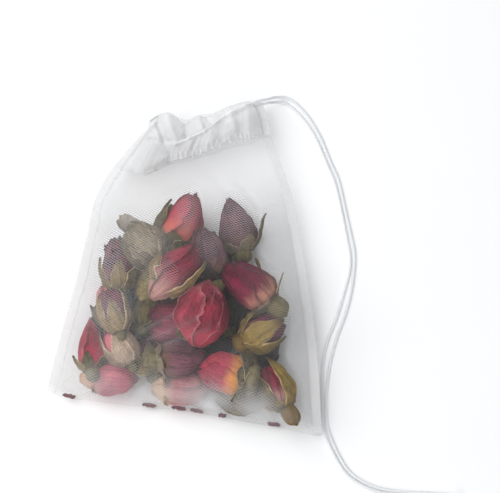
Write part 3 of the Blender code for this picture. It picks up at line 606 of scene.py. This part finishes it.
# Points across and along one petal, sepal, loose leaf, single leaf and flake, and round and along a hip
PETAL_GRID = (20, 20)
SEPAL_GRID = (10, 18)
LOOSE_GRID = (8, 8)
LEAF_GRID = (14, 12)
FLAKE_GRID = (18, 8)
HIP_GRID = (22, 16)
# Buds whose middle is lower than this are hidden, and coarser
LOW_BUD = 7.0 * MM
LOW_FINENESS = 0.65
# How thick they are
PETAL_WALL = 0.12 * MM
SEPAL_WALL = 0.16 * MM
SCRAP_WALL = 0.10 * MM
# Loose petals and sepals: how many, how far apart the buds beside them are, and where they lie
LOOSE_PETALS = 70
LOOSE_SEPALS = 26
LOOSE_GAP = (5.0 * MM, 12.0 * MM)
LOOSE_LOWEST = -33.0 * MM
LOOSE_HEIGHT = (1.6, 4.5)
FLOOR_CLEARANCE = 0.7 * MM
CRUMBS = 6
CRUMB_INSET = 0.75 * MM


def put_camera():
    """Looks down at the bag from the photograph's side."""
    distance = MM_PER_PIXEL * MM * PICTURE_WIDTH * LENS / SENSOR
    data = bpy.data.cameras.new("camera")
    data.lens = LENS
    data.sensor_width = SENSOR
    data.clip_start = 0.01
    camera = bpy.data.objects.new("camera", data)
    turn = Euler((math.pi / 2 - ELEVATION, 0, AZIMUTH)).to_matrix().to_4x4()
    camera.matrix_world = Matrix.Translation(AIM) @ turn @ Matrix.Translation((0, 0, distance))
    bpy.context.scene.collection.objects.link(camera)
    bpy.context.scene.camera = camera


def set_stage():
    """A plain pale floor under soft light, strongest from the upper left."""
    bm = bmesh.new()
    bmesh.ops.create_grid(bm, x_segments=2, y_segments=2, size=FLOOR_REACH)
    floor = Finish("pale floor", Roughness=0.9, Specular_IOR_Level=0.1)
    grain = floor.noise(40.0, 2.0)
    floor.set(Base_Color=floor.mix(grain, (0.93, 0.935, 0.94), (0.95, 0.95, 0.95)))
    mesh_object("floor", bm, floor)
    world = bpy.data.worlds.new("soft room")
    world.use_nodes = True
    background = world.node_tree.nodes["Background"]
    background.inputs["Color"].default_value = rgba(ROOM_COLOUR)
    background.inputs["Strength"].default_value = ROOM_LIGHT
    bpy.context.scene.world = world
    bpy.context.scene.view_settings.view_transform = "Standard"
    for name, size, power, place in LAMPS:
        data = bpy.data.lights.new(name, "AREA")
        data.size = size
        data.energy = power
        light = bpy.data.objects.new(name, data)
        light.location = place
        light.rotation_euler = (-Vector(place)).to_track_quat("-Z", "Y").to_euler()
        bpy.context.scene.collection.objects.link(light)


def mesh_object(name, bm, finish):
    """A mesh with its material, put in the scene."""
    mesh = bpy.data.meshes.new(name)
    bm.to_mesh(mesh)
    bm.free()
    mesh.materials.append(finish.material)
    mesh.shade_smooth()
    obj = bpy.data.objects.new(name, mesh)
    bpy.context.scene.collection.objects.link(obj)
    return obj


def piece(name, bm, finish, slot, *nodes, wall=0.0):
    """A finished piece: what it rides on, its slot, which is not used, what it stands for and its wall."""
    obj = mesh_object(name, bm, finish)
    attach(obj, "root")
    if nodes:
        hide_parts(*nodes)
    if wall:
        solidify = obj.modifiers.new("wall", "SOLIDIFY")
        solidify.thickness = wall
        solidify.offset = 0.0
    return obj


def grid(bm, columns, rows):
    """Adds a grid, and gives every point with its shares of the way across and up."""
    made = bmesh.ops.create_grid(bm, x_segments=columns, y_segments=rows, size=0.5, calc_uvs=True)
    return [(vert, vert.co.x + 0.5, vert.co.y + 0.5) for vert in made["verts"]]


# Cords

def twisted_cord(line):
    """Plies that wind round each other along a line, as one mesh."""
    length = line_length(line)
    count = int(length / PLY_STEP)
    middle = along(line, np.linspace(0, 1, count + 1))
    ahead = np.gradient(middle, axis=0)
    ahead /= np.linalg.norm(ahead, axis=1, keepdims=True)
    side = np.cross(ahead, (0, 0, 1.0))
    side /= np.linalg.norm(side, axis=1, keepdims=True)
    over = np.cross(side, ahead)
    turn = np.linspace(0, length / PLY_TURN * math.tau, count + 1)
    bm = bmesh.new()
    for ply in range(PLIES):
        angle = (turn + ply * math.tau / PLIES)[:, None]
        core = middle + PLY_OFFSET * (np.cos(angle) * side + np.sin(angle) * over)
        for vert, a, b in grid(bm, count, PLY_SIDES):
            k, angle = round(a * count), b * math.tau
            vert.co = core[k] + PLY_RADIUS * (math.cos(angle) * side[k] + math.sin(angle) * over[k])
    bmesh.ops.remove_doubles(bm, verts=bm.verts, dist=1e-7)
    bmesh.ops.holes_fill(bm, edges=bm.edges, sides=PLY_SIDES + 1)
    bmesh.ops.recalc_face_normals(bm, faces=bm.faces)
    return bm


def make_cords():
    """The knot, the two free strands that it ties, and the cord in the hem."""
    finish = cord_finish()

    def cord_piece(name, line, *nodes):
        return piece(name, twisted_cord(line), finish, "drawstring_cord", *nodes)

    low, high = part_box("drawstring_knot")
    turns = np.linspace(0, math.tau, 60)
    trefoil = np.stack([np.sin(turns) + 2 * np.sin(2 * turns), np.cos(turns) - 2 * np.cos(2 * turns),
                        -np.sin(3 * turns) * 1.3], axis=-1) * ((high.z - low.z) / 2 - CORD * 0.3) / 3.0
    knot = cord_piece("tied_knot", trefoil + np.array((low + high) / 2), "drawstring_knot")
    for node, route in (("drawstring_strand_a", STRAND_A), ("drawstring_strand_b", STRAND_B)):
        line = smooth_line(np.array(route) * MM)
        strand = cord_piece(node.replace("drawstring", "twisted"), line, node)
    cord_piece("twisted_cord_in_hem", smooth_line(np.array(HEM_ROUTE) * MM), "drawstring_in_hem")


# Rosebuds

def radius_at(profile, reach):
    """A profile's radius at a reach along the axis."""
    for (low, first), (high, second) in zip(profile, profile[1:]):
        if reach <= high:
            return first + (second - first) * max(0.0, (reach - low) / (high - low))
    return profile[-1][1]


def body_radius(bud, reach):
    """A bud's radius at a reach along its axis."""
    blunt = radius_at(FULL if bud.foot < 0 else BLUNT, reach)
    return blunt + (radius_at(POINTED, reach) - blunt) * bud.point


def leaves(name, made, size, finish, slot, *nodes, wall):
    """A piece of petals or sepals: a grid for each, whose points go where its place function puts them."""
    bm = bmesh.new()
    bm.loops.layers.uv.new("UVMap")
    layer = bm.verts.layers.float.new("tone")
    for place, tone in made:
        for vert, a, b in grid(bm, *size):
            vert[layer] = tone
            vert.co = place(a, b)
    return piece(name, bm, finish, slot, *nodes, wall=wall)


def rough(a, b, seed):
    """Even noise of about -1 to 1."""
    return noise.noise(Vector((a, b, seed * 7.31)))


def ridged(a, b, seed):
    """Noise with sharp crests: 0 in the hollows, 1 along the crests."""
    return 1 - min(1.0, abs(rough(a, b, seed)) * 3)


def petal_place(bud, turn, layer, reach_to, seed):
    """Where a petal's points go: round the bud, one side over its neighbour and one under."""
    def place(a, b):
        side = 2 * a - 1
        spread = 1.25 * (0.66 + 0.34 * math.sin(math.pi * min(b * 0.75 + 0.12, 1)))
        # Its end is round and torn
        torn = (max(rough(a * 11, 0.5, seed + 3), 0) + max(rough(a * 4, 0.2, seed + 4), 0)) * bud.torn
        up = b * (1 - (0.16 * abs(side) ** 2.5 + torn) * b ** 3)
        reach = bud.foot + (reach_to - bud.foot) * up
        # It winds as it rises, and its sides are ragged
        angle = turn + side * spread * (1 + 0.16 * rough(b * 9, side, seed + 11)) + 0.6 * b
        # It is creased and wavy, its tip stands off, and one side curls up
        crease = 0.10 * ridged(a * 3.2, b * 0.9, seed) + 0.09 * rough(a * 6, b * 3, seed + 8)
        wave = 0.10 * rough(a * 1.6, b * 1.8, seed)
        radius = body_radius(bud, reach) * (layer + 0.08 * side + wave + crease * b)
        radius += bud.open * (0.13 * b ** 6 + 0.09 * b ** 12 * rough(a * 6, b, seed + 5))
        radius += 0.05 * max(side, 0) ** 8 * (1 + rough(b * 5, 0, seed))
        return bud_point(bud, reach, angle, radius)
    return place


def sepal_place(bud, turn, reach_to, width, peel, seed):
    """Where a sepal's points go: a blade on the petals, with raised rims and a curled tip."""
    blunt = 0.62 + 0.3 * rough(seed, 0.7, 2.0)

    def place(a, b):
        side = 2 * a - 1
        reach = SEPAL_FOOT + (reach_to - SEPAL_FOOT) * b
        body = body_radius(bud, reach)
        # It narrows to its tip, wanders to one side, and its rims are wavy
        taper = (1 - b) ** blunt * (0.75 + 0.6 * math.sin(math.pi * b)) + 0.03
        wander = 0.35 * b * b * rough(b * 1.3, 0.4, seed)
        wavy = 1 + 0.4 * rough(b * 5, side, seed + 2)
        angle = turn + wander + side * width * taper * wavy * 0.9 / max(body, 0.4)
        # Its rims stand up, ribs run along it, and its tip curls away
        lift = 0.13 * side ** 2 * (1 - 0.6 * b) * (1 + rough(b * 4, side * 2, seed + 6))
        rib = 0.035 * math.exp(-(side / 0.2) ** 2) + 0.03 * math.cos(side * 9)
        curl = peel * 8 * b ** 2.5 + 0.06 * rough(a * 2, b * 3, seed)
        return bud_point(bud, reach, angle, body + 0.07 + lift + rib + curl)
    return place


def bud_point(bud, reach, angle, radius):
    """A bud's point, from its reach along the axis, its angle and its radius."""
    lean = 0.06 * rough(reach * 2.2, 0.3, bud.seed)
    dent = 1 + 0.07 * rough(math.cos(angle) * 1.2, math.sin(angle) * 1.2 + reach * 2, bud.seed)
    local = Vector((radius * dent * math.cos(angle), radius * dent * math.sin(angle) * bud.flat + lean, 0))
    local *= bud.half
    local.z = (reach - 0.5) * bud.length
    return bud.turn @ local + bud.middle


def measures(node):
    """A bud's middle, size and turn from its CAD solid, which is wider towards its tip."""
    points = np.array([v.co for v in bpy.data.objects[node].data.vertices])
    centre = points.mean(axis=0)
    axis = np.linalg.svd(points - centre, full_matrices=False)[2][0]
    run = (points - centre) @ axis
    middle = centre + axis * (run.max() + run.min()) / 2
    off = points - middle
    share = off @ axis / (run.max() - run.min())
    radius = np.linalg.norm(off - np.outer(off @ axis, axis), axis=1)
    if radius[share > 0.2].max() < radius[share < -0.2].max():
        axis = -axis
    axis = Vector(axis)
    up = (Vector((0, 0, 1)) - axis * axis.z).normalized()
    turn = Matrix((up, axis.cross(up), axis)).transposed()
    return {"middle": Vector(middle), "length": float(run.max() - run.min()), "half": float(radius.max()),
            "turn": turn}


def make_bud(node, number, petals, sepals, hip):
    """One dried rosebud: three whorls of petals, sepals, and a hip with its stem."""
    look = BUDS[node]
    rng = random.Random(number)
    bud = SimpleNamespace(**look._asdict(), **measures(node), torn=0.06 + 0.13 * look.open,
                          seed=number * 3.7, flat=rng.uniform(0.86, 1.0))
    bud.half *= bud.swell
    fineness = 1.0 if bud.middle.z > LOW_BUD else LOW_FINENESS
    petal_grid, sepal_grid = ([round(k * fineness) for k in size] for size in (PETAL_GRID, SEPAL_GRID))

    def whorls():
        for whorl, (count, layer, extra) in enumerate(WHORLS):
            for k in range(count):
                turn = math.radians(bud.roll) + (k / count + whorl / 6) * math.tau + rng.uniform(-0.25, 0.25)
                to = bud.reach * (1.0 + extra + rng.uniform(-0.06, 0.02))
                seed = number * 31 + whorl * 5 + k
                yield petal_place(bud, turn, layer + 0.012 * k, to, seed), rng.uniform(0.1, 1.0)

    def blades():
        for k, (angle, reach, width, peel) in enumerate(bud.blades):
            turn = math.radians(angle) + rng.uniform(-0.08, 0.08)
            to = reach * (1 + rng.uniform(-0.06, 0.06))
            place = sepal_place(bud, turn, to, width, peel * rng.uniform(0.6, 1.4), number * 17 + k)
            yield place, rng.uniform(0.1, 1.0)

    leaves(f"{node}_petals", whorls(), petal_grid, petals, SLOTS[node], node, wall=PETAL_WALL)
    leaves(f"{node}_sepals", blades(), sepal_grid, sepals, SLOTS[node], node, wall=SEPAL_WALL)
    piece(f"{node}_hip", hip_mesh(bud, number), hip, "rosebud_olive", node)


def hip_mesh(bud, number):
    """A round hip with shallow ribs, drawn out to its stem."""
    bm = bmesh.new()
    bm.loops.layers.uv.new("UVMap")
    made = bmesh.ops.create_uvsphere(bm, u_segments=HIP_GRID[0], v_segments=HIP_GRID[1], radius=1.0,
                                     calc_uvs=True)
    for vert in made["verts"]:
        share = math.acos(max(-1.0, min(1.0, -vert.co.z))) / math.pi
        angle = math.atan2(vert.co.y, vert.co.x)
        radius = radius_at(HIP_PROFILE, share) * bud.hip * (1 + 0.04 * math.cos(5 * angle + number))
        reach = share * (HIP_REACH + bud.stem) - bud.stem
        vert.co = bud_point(bud, reach, angle, radius)
    bmesh.ops.recalc_face_normals(bm, faces=bm.faces)
    return bm


def make_buds():
    """All the rosebuds. Gives the petal and sepal finishes, which loose pieces share."""
    petals = {name: petal_finish(f"{name} dried petal", *tones) for name, tones in PETALS.items()}
    sepals = {name: sepal_finish(f"{name} dried sepal", *tones) for name, tones in SEPALS.items()}
    hips = {name: hip_finish(f"{name} hip", *tones) for name, tones in HIPS.items()}
    for number, (node, look) in enumerate(BUDS.items(), 1):
        hip = hips["golden" if look.sepals == "golden" else "olive"]
        make_bud(node, number, petals[look.petals], sepals[look.sepals], hip)
    return petals, sepals


def make_litter(petals, sepals):
    """Loose petals and scraps of sepal that lie low among the buds. Their near-black colours are partly dark
    dried scraps, partly painted shade between the buds.
    """
    rng = random.Random(5)
    middles = [sum(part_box(node), Vector()) / 2 for node in BUDS]
    pairs = [(a, b) for a in middles for b in middles
             if LOOSE_GAP[0] < (a - b).xy.length < LOOSE_GAP[1] and min(a.y, b.y) > LOOSE_LOWEST]

    def scraps(count):
        for k in range(count):
            first, second = rng.choice(pairs)
            middle = first.lerp(second, rng.uniform(0.3, 0.7))
            middle.z = rng.uniform(*LOOSE_HEIGHT) * MM
            heading, tilt = rng.uniform(0, math.tau), rng.uniform(-0.3, 0.3)
            size = Vector((rng.uniform(3.4, 4.8), rng.uniform(2.6, 3.8), 1.2)) * MM
            place = loose_place(middle, Euler((tilt, 0, heading)).to_matrix(), size, k + 200.0)
            yield place, rng.uniform(0, 1)

    leaves("loose_petals", scraps(LOOSE_PETALS), LOOSE_GRID, petals, "rosebud_dusky", wall=SCRAP_WALL)
    leaves("loose_sepals", scraps(LOOSE_SEPALS), LOOSE_GRID, sepals, "rosebud_olive", wall=SCRAP_WALL)


def loose_place(middle, turn, size, seed):
    """Where a loose leaf's points go: round, with an uneven edge, and cupped along its length."""
    def place(a, b):
        x, y = 2 * a - 1, 2 * b - 1
        inward = 1 / max(1.0, math.hypot(x, y) ** 0.8) * (1 + 0.2 * rough(x * 3, y * 3, seed))
        local = Vector((x * size.x * inward, y * size.y * inward,
                        size.z * (0.6 * y * y + rough(x * 2, y * 2, seed + 1))))
        spot = turn @ local + middle
        spot.z = max(spot.z, FLOOR_CLEARANCE)
        return spot
    return place


def make_leaves(sepals):
    """The single leaves that stick out of the pile."""
    for colour in sorted({row[-1] for row in LEAVES}):
        made = []
        for x, y, z, heading, length, width, tilt, _ in (row for row in LEAVES if row[-1] == colour):
            turn = Euler((0, math.radians(tilt), math.radians(heading))).to_matrix()
            size = Vector((length / 2, width / 2, 0.5)) * MM
            made.append((loose_place(Vector((x, y, z)) * MM, turn, size, len(made) + 300.0), 0.6))
        leaves(f"{colour}_leaves", made, LEAF_GRID, sepals[colour], "rosebud_olive", wall=PETAL_WALL)


def make_crumbs(finish):
    """The scraps of petal in the bottom fold."""
    for k in range(1, CRUMBS + 1):
        node = f"petal_crumb_{k}"
        low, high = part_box(node)
        middle = (low + high) / 2
        fold = cloth_plan(np.array([middle.x / (FLAT_WIDTH / 2)]), np.array([0.0]))
        middle.y = float(fold[0, 1]) + CRUMB_INSET
        leaves(f"{node}_flake", [(flake_place(middle, (high - low) / 2, k), 0.8)], FLAKE_GRID, finish,
               "petal_crumb", node, wall=SCRAP_WALL)


def flake_place(middle, size, seed):
    """Where a flake's points go: a narrow curled shape with a torn edge."""
    def place(a, b):
        x, y = 2 * a - 1, 2 * b - 1
        inward = (1 - 0.7 * abs(rough(x * 4, y * 3, seed))) / max(1.0, math.hypot(x, y) ** 0.8)
        across = (y * 0.6 + 0.3 * rough(x * 2, 0.5, seed + 4)) * MM * inward
        curl = size.z * 0.8 * rough(x * 2, y * 2, seed + 9)
        return middle + Vector((x * size.x * 1.25 * inward, across, curl))
    return place


# Cloth

def tree_of(objects):
    """A lookup of the surfaces of several objects."""
    points, faces = [], []
    for obj in objects:
        first = len(points)
        points += [v.co.copy() for v in obj.data.vertices]
        faces += [[first + k for k in p.vertices] for p in obj.data.polygons]
    return BVHTree.FromPolygons(points, faces)


def each_place(plan, measure):
    """Measures every place in plan."""
    found = np.empty(plan.shape[:2])
    for spot in np.ndindex(found.shape):
        found[spot] = measure(*plan[spot])
    return found


def heights(tree, plan, heading, missing):
    """Where rays along Z, heading up or down, meet a surface."""
    def meet(x, y):
        hit = tree.ray_cast(Vector((x, y, -heading)), Vector((0, 0, heading)))[0]
        return hit.z if hit else missing
    return each_place(plan, meet)


def traced(rows, share):
    """A smooth line through rows of a share and its values in millimetres, at given shares."""
    line = smooth_line(rows)
    return np.stack([np.interp(share, line[:, 0], values) for values in line.T[1:]], axis=-1) * MM


def hem_share(up):
    """0 up to the seal, and 1 at the rim."""
    return np.clip((up - SEAL_SHARE) / (1 - SEAL_SHARE), 0, 1)


def cloth_plan(across, up, straying=1.0):
    """x and y of places in the bag's cloth."""
    share = ((across + 1) / 2)[..., None]
    plan = traced(LEFT_EDGE, up) * (1 - share) + traced(RIGHT_EDGE, up) * share
    near_seal = eased((up - 0.55) / (SEAL_SHARE - 0.55)) * (1 - hem_share(up))
    plan[..., 1] += traced(RIM_STRAY, across)[..., 0] * hem_share(up) * straying
    plan[..., 1] += traced(SEAL_STRAY, across)[..., 0] * near_seal * straying
    plan[..., 1] += traced(FOLD_STRAY, across)[..., 0] * np.clip(1 - up / 0.12, 0, 1)
    return plan


def seam_share(up):
    """The seam's width as a share of half the cloth's width there."""
    return 2 * SEAM_WIDTH / np.linalg.norm(traced(RIGHT_EDGE, up) - traced(LEFT_EDGE, up), axis=-1)


def neighbour_mean(values):
    """The mean of each inner place's four neighbours."""
    return (values[:-2, 1:-1] + values[2:, 1:-1] + values[1:-1, :-2] + values[1:-1, 2:]) / 4


def stretch(height, fixed, least):
    """Draws a surface tight between what holds it, over what lies under it."""
    inner = (slice(1, -1), slice(1, -1))
    for _ in range(STRETCH_ROUNDS):
        drawn = np.maximum(neighbour_mean(height), least[inner])
        height[inner] = np.where(fixed[inner], height[inner], drawn)
    return height


def gathers(across):
    """Uneven small folds across the mouth, about -1 to 1."""
    wide = np.sin(across * 31 + 1.5 * np.sin(across * 7))
    narrow = np.sin(across * 53 + 2 * np.sin(across * 11))
    return 0.6 * wide + 0.4 * narrow


class Side(NamedTuple):
    """One side of the bag, as arrays of places."""
    across: np.ndarray
    up: np.ndarray
    plan: np.ndarray
    top: np.ndarray  # the height of the CAD bag's top
    low: np.ndarray  # the height of its underside
    middle: np.ndarray  # the height of its side line
    seam: np.ndarray
    hem: np.ndarray


def read_side(bag, pouch_rows, hem_rows, straying):
    """Reads the CAD bag at every place of one side, with a row of places on the seal."""
    pouch, hem = np.linspace(0, SEAL_SHARE, pouch_rows + 1), np.linspace(SEAL_SHARE, 1, hem_rows + 1)
    across, up = np.meshgrid(np.linspace(-1, 1, COLUMNS + 1), np.concatenate([pouch, hem[1:]]))
    plan = cloth_plan(across, up, straying)
    top, low = (heights(bag, plan, heading, MOUTH_HEIGHT) for heading in (-1, 1))
    middle = np.where(up > RIM_SHARE, MOUTH_HEIGHT, (top[:, :1] + low[:, :1]) / 2)
    middle[0] = FOLD_HEIGHT
    return Side(across, up, plan, top, low, middle, np.abs(across) > 1 - seam_share(up), hem_share(up))


def row_at(side, share):
    """The row of places nearest to a share of the way from the fold to the rim."""
    return int(np.argmin(np.abs(side.up[:, 0] - share)))


def rounded_hem(side, outer):
    """The hem's height: full where the cord runs, and closing in a round to the rim."""
    crown = row_at(side, SEAL_SHARE + CROWN * (1 - SEAL_SHARE))
    return side.middle + (outer[crown] - side.middle) * np.sqrt(1 - side.hem ** 5)


def front_cloth(side, buds):
    """The upper cloth, drawn tight over the buds: its height, its haze, how much it is painted paler
    (heat-seal marks, and painted light on the hem and on fold crests) and how much its threads show, with
    painted sheen."""
    free = ~side.seam
    under = heights(buds, side.plan, -1, NOWHERE)
    least = np.maximum(under + CLOTH_CLEARANCE, side.top - CLOTH_SAG)
    in_hem = side.up >= SEAL_SHARE
    fixed = side.seam | in_hem
    fixed[0] = True
    height = np.where(side.seam, side.middle + SEAM_GAP / 2, side.top)
    height[0] = side.middle[0] + SEAM_GAP / 2
    height = stretch(height, fixed, least)
    height = np.where(in_hem & free, rounded_hem(side, side.top), height)
    below = (SEAL_SHARE - side.up) * POUCH_LENGTH
    fade = np.exp(-np.clip(below, 0, None) / GATHER_REACH) * (1 - side.across ** 6) * (1 - side.hem ** 3)
    height += fade * free * np.where(in_hem, HEM_GATHER, POUCH_GATHER) * gathers(side.across)
    height -= np.exp(-(below / SEAL_REACH) ** 2) * free * SEAL_DIP
    height += WRINKLE * wrinkles(side.plan) * free * (side.up > 0.02)
    # The hem is painted paler and more opaque, a painted light over its shade
    white = HEM_PAINTED_LIGHT * in_hem
    # Fold crests get painted highlights; seal puckers get heat-seal marks that are partly painted highlight
    for x0, y0, x1, y1, width, rise, crest_highlight_and_mark in (*FOLDS, *seal_puckers()):
        crest = np.exp(-(distance(side.plan / MM, (x0, y0), (x1, y1)) / width) ** 2)
        height += rise * MM * crest * free
        white = np.maximum(white, crest_highlight_and_mark * crest)
    height = np.where(fixed & ~in_hem, height, np.maximum(height, least))
    height = np.where(in_hem & free, np.maximum(height, side.middle + HEM_GAP), height)
    cover = eased((softened((under > NOWHERE).astype(float)) - 0.05) / 0.25)
    # Painted sheen: the threads show more in the SHEEN patches
    weave = cover * (FRONT_WEAVE + patches(side.plan, SHEEN))
    return height, cloth_haze(side, height, cover), white, weave


def back_cloth(side):
    """The same of the cloth underneath, which lies just over the CAD bag's underside."""
    height = side.low + (rounded_hem(side, side.low) - side.low) * eased(side.hem * 4)
    height = np.where(side.seam, side.middle - SEAM_GAP / 2, height + BACK_CLEARANCE)
    none = np.zeros(height.shape)
    return height, BACK_HAZE + BACK_SEAM_HAZE * side.seam, none, none + BACK_WEAVE


def side_rows(side, height, haze, white, weave):
    """A side's rows of places, heights and looks, from the fold to the rim and on along its facing, which
    lies a channel's depth inside the hem."""
    weld = side.seam * np.clip(1 - side.up / WELD_FADE, 0, 1)
    rows = list(zip(side.plan, height, zip(haze, white, weave, weld)))
    none = np.zeros(COLUMNS + 1)
    for share in np.linspace(1, SEAL_SHARE, FACING_ROWS + 1)[1:]:
        k = row_at(side, share)
        gap = height[k] - side.middle[k]
        inner = side.middle[k] + np.sign(gap) * np.maximum(np.abs(gap) - CHANNEL, FACING_GAP)
        rows.append((side.plan[k], inner, (none + FACING_HAZE, none, none, none)))
    return rows


def make_cloth(finish):
    """The whole bag as one strip of mesh: facing, front, fold, back and facing."""
    bag = tree_of([bpy.data.objects["mesh_bag"]])
    kinds = ("_petals", "_sepals", "_hip", "_leaves")
    buds = tree_of([o for o in bpy.data.objects if o.name.endswith(kinds) and o.name != "loose_petals"])
    front = read_side(bag, POUCH_ROWS, HEM_ROWS, 1.0)
    back = read_side(bag, BACK_ROWS, HEM_ROWS // 2, BACK_STRAY)
    upper, under = side_rows(front, *front_cloth(front, buds)), side_rows(back, *back_cloth(back))
    cloth = piece("bag_cloth", strip(upper[::-1] + under[1:]), finish, "nylon_mesh", "mesh_bag")


def strip(rows):
    """The rows as one mesh. Its UVs are places in plan, in millimetres."""
    bm = bmesh.new()
    uv = bm.loops.layers.uv.new("UVMap")
    names = ("haze", "white", "weave", "weld")
    for name in names:
        bm.verts.layers.float.new(name)
    layers = [bm.verts.layers.float[name] for name in names]
    flat = {}
    for vert, a, b in grid(bm, COLUMNS, len(rows) - 1):
        column = round(a * COLUMNS)
        plan, height, looks = rows[round(b * (len(rows) - 1))]
        for layer, look in zip(layers, looks):
            vert[layer] = float(look[column])
        flat[vert] = tuple(plan[column] / MM)
        vert.co = Vector((*plan[column], height[column]))
    for face in bm.faces:
        for loop in face.loops:
            loop[uv].uv = flat[loop.vert]
    bmesh.ops.recalc_face_normals(bm, faces=bm.faces)
    return bm


def distance(plan, start, end):
    """How far places in plan are from a straight line's nearest point."""
    start, run = np.array(start), np.subtract(end, start)
    share = np.clip((plan - start) @ run / (run @ run), 0, 1)
    return np.linalg.norm(plan - start - share[..., None] * run, axis=-1)


def seal_puckers():
    """Short bright ridges across the seal, as rows of FOLDS. They are painted paler: partly heat-seal marks,
    partly painted highlight.
    """
    rng = random.Random(8)
    line = smooth_line(SEAL)
    for k in range(PUCKERS):
        x, y = along(line, (k + rng.uniform(0.1, 0.9)) / PUCKERS)
        lean, length = rng.uniform(-0.55, 0.15), rng.uniform(1.0, 2.4)
        yield (x - lean * length / 2, y - length / 2, x + lean * length / 2, y + length / 2, 0.24,
               rng.uniform(0.2, 0.5), rng.uniform(0.3, 0.9))


def wrinkles(plan):
    """Small uneven wrinkles all over the cloth, about -1 to 1."""
    return each_place(plan * WRINKLE_SCALE, lambda x, y: noise.noise(Vector((x * 1.6, y * 0.7, 3.1))))


def softened(values):
    """Evens values out over their neighbours in the cloth."""
    for _ in range(COVER_ROUNDS):
        values = neighbour_mean(np.pad(values, 1, mode="edge"))
    return values


def patches(plan, rows):
    """The strength of listed soft patches, where the strongest one counts."""
    found = np.zeros(plan.shape[:2])
    for x, y, wide, tall, strength in rows:
        off = (plan[..., 0] / MM - x) ** 2 / wide ** 2 + (plan[..., 1] / MM - y) ** 2 / tall ** 2
        found = np.maximum(found, strength * np.exp(-off))
    return found


def cloth_haze(side, height, cover):
    """How milky the cloth is: clear on the buds, and milky where it stands off or is sealed."""
    wide = np.linalg.norm(np.gradient(side.plan, axis=1), axis=-1)
    tall = np.linalg.norm(np.gradient(side.plan, axis=0), axis=-1)
    slope = np.hypot(np.gradient(height, axis=1) / wide, np.gradient(height, axis=0) / tall)
    lean = 1 - 1 / np.sqrt(1 + slope ** 2)
    from_fold = side.up * POUCH_LENGTH
    haze = CLEAR_HAZE + LEAN_HAZE * lean + SEAM_HAZE * side.seam + HEM_HAZE * np.clip(side.hem * 12, 0, 1)
    haze += FOLD_HAZE * np.exp(-from_fold / (3 * MM))
    low = 1 - eased((side.up - 0.56) / 0.22)
    haze += (1 - cover) * (EMPTY_HAZE + low * (LOW_HAZE + RIGHT_HAZE * side.across))
    haze += patches(side.plan, FOG)
    haze *= 1 - 0.8 * np.exp(-(from_fold / (1.5 * MM)) ** 2)
    return np.clip(haze, 0, 0.9)


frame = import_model()
SLOTS = {row["node"]: row["material_slot"] for row in frame["record"]["subparts"]}
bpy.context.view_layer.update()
put_camera()
make_cords()
petal_looks, sepal_looks = make_buds()
# The litter's near-black petals and sepals are partly painted shade between the buds
make_litter(petal_looks["maroon"], sepal_looks["dark"])
make_leaves(sepal_looks)
make_crumbs(petal_looks["plum"])
make_cloth(cloth_finish())
set_stage()
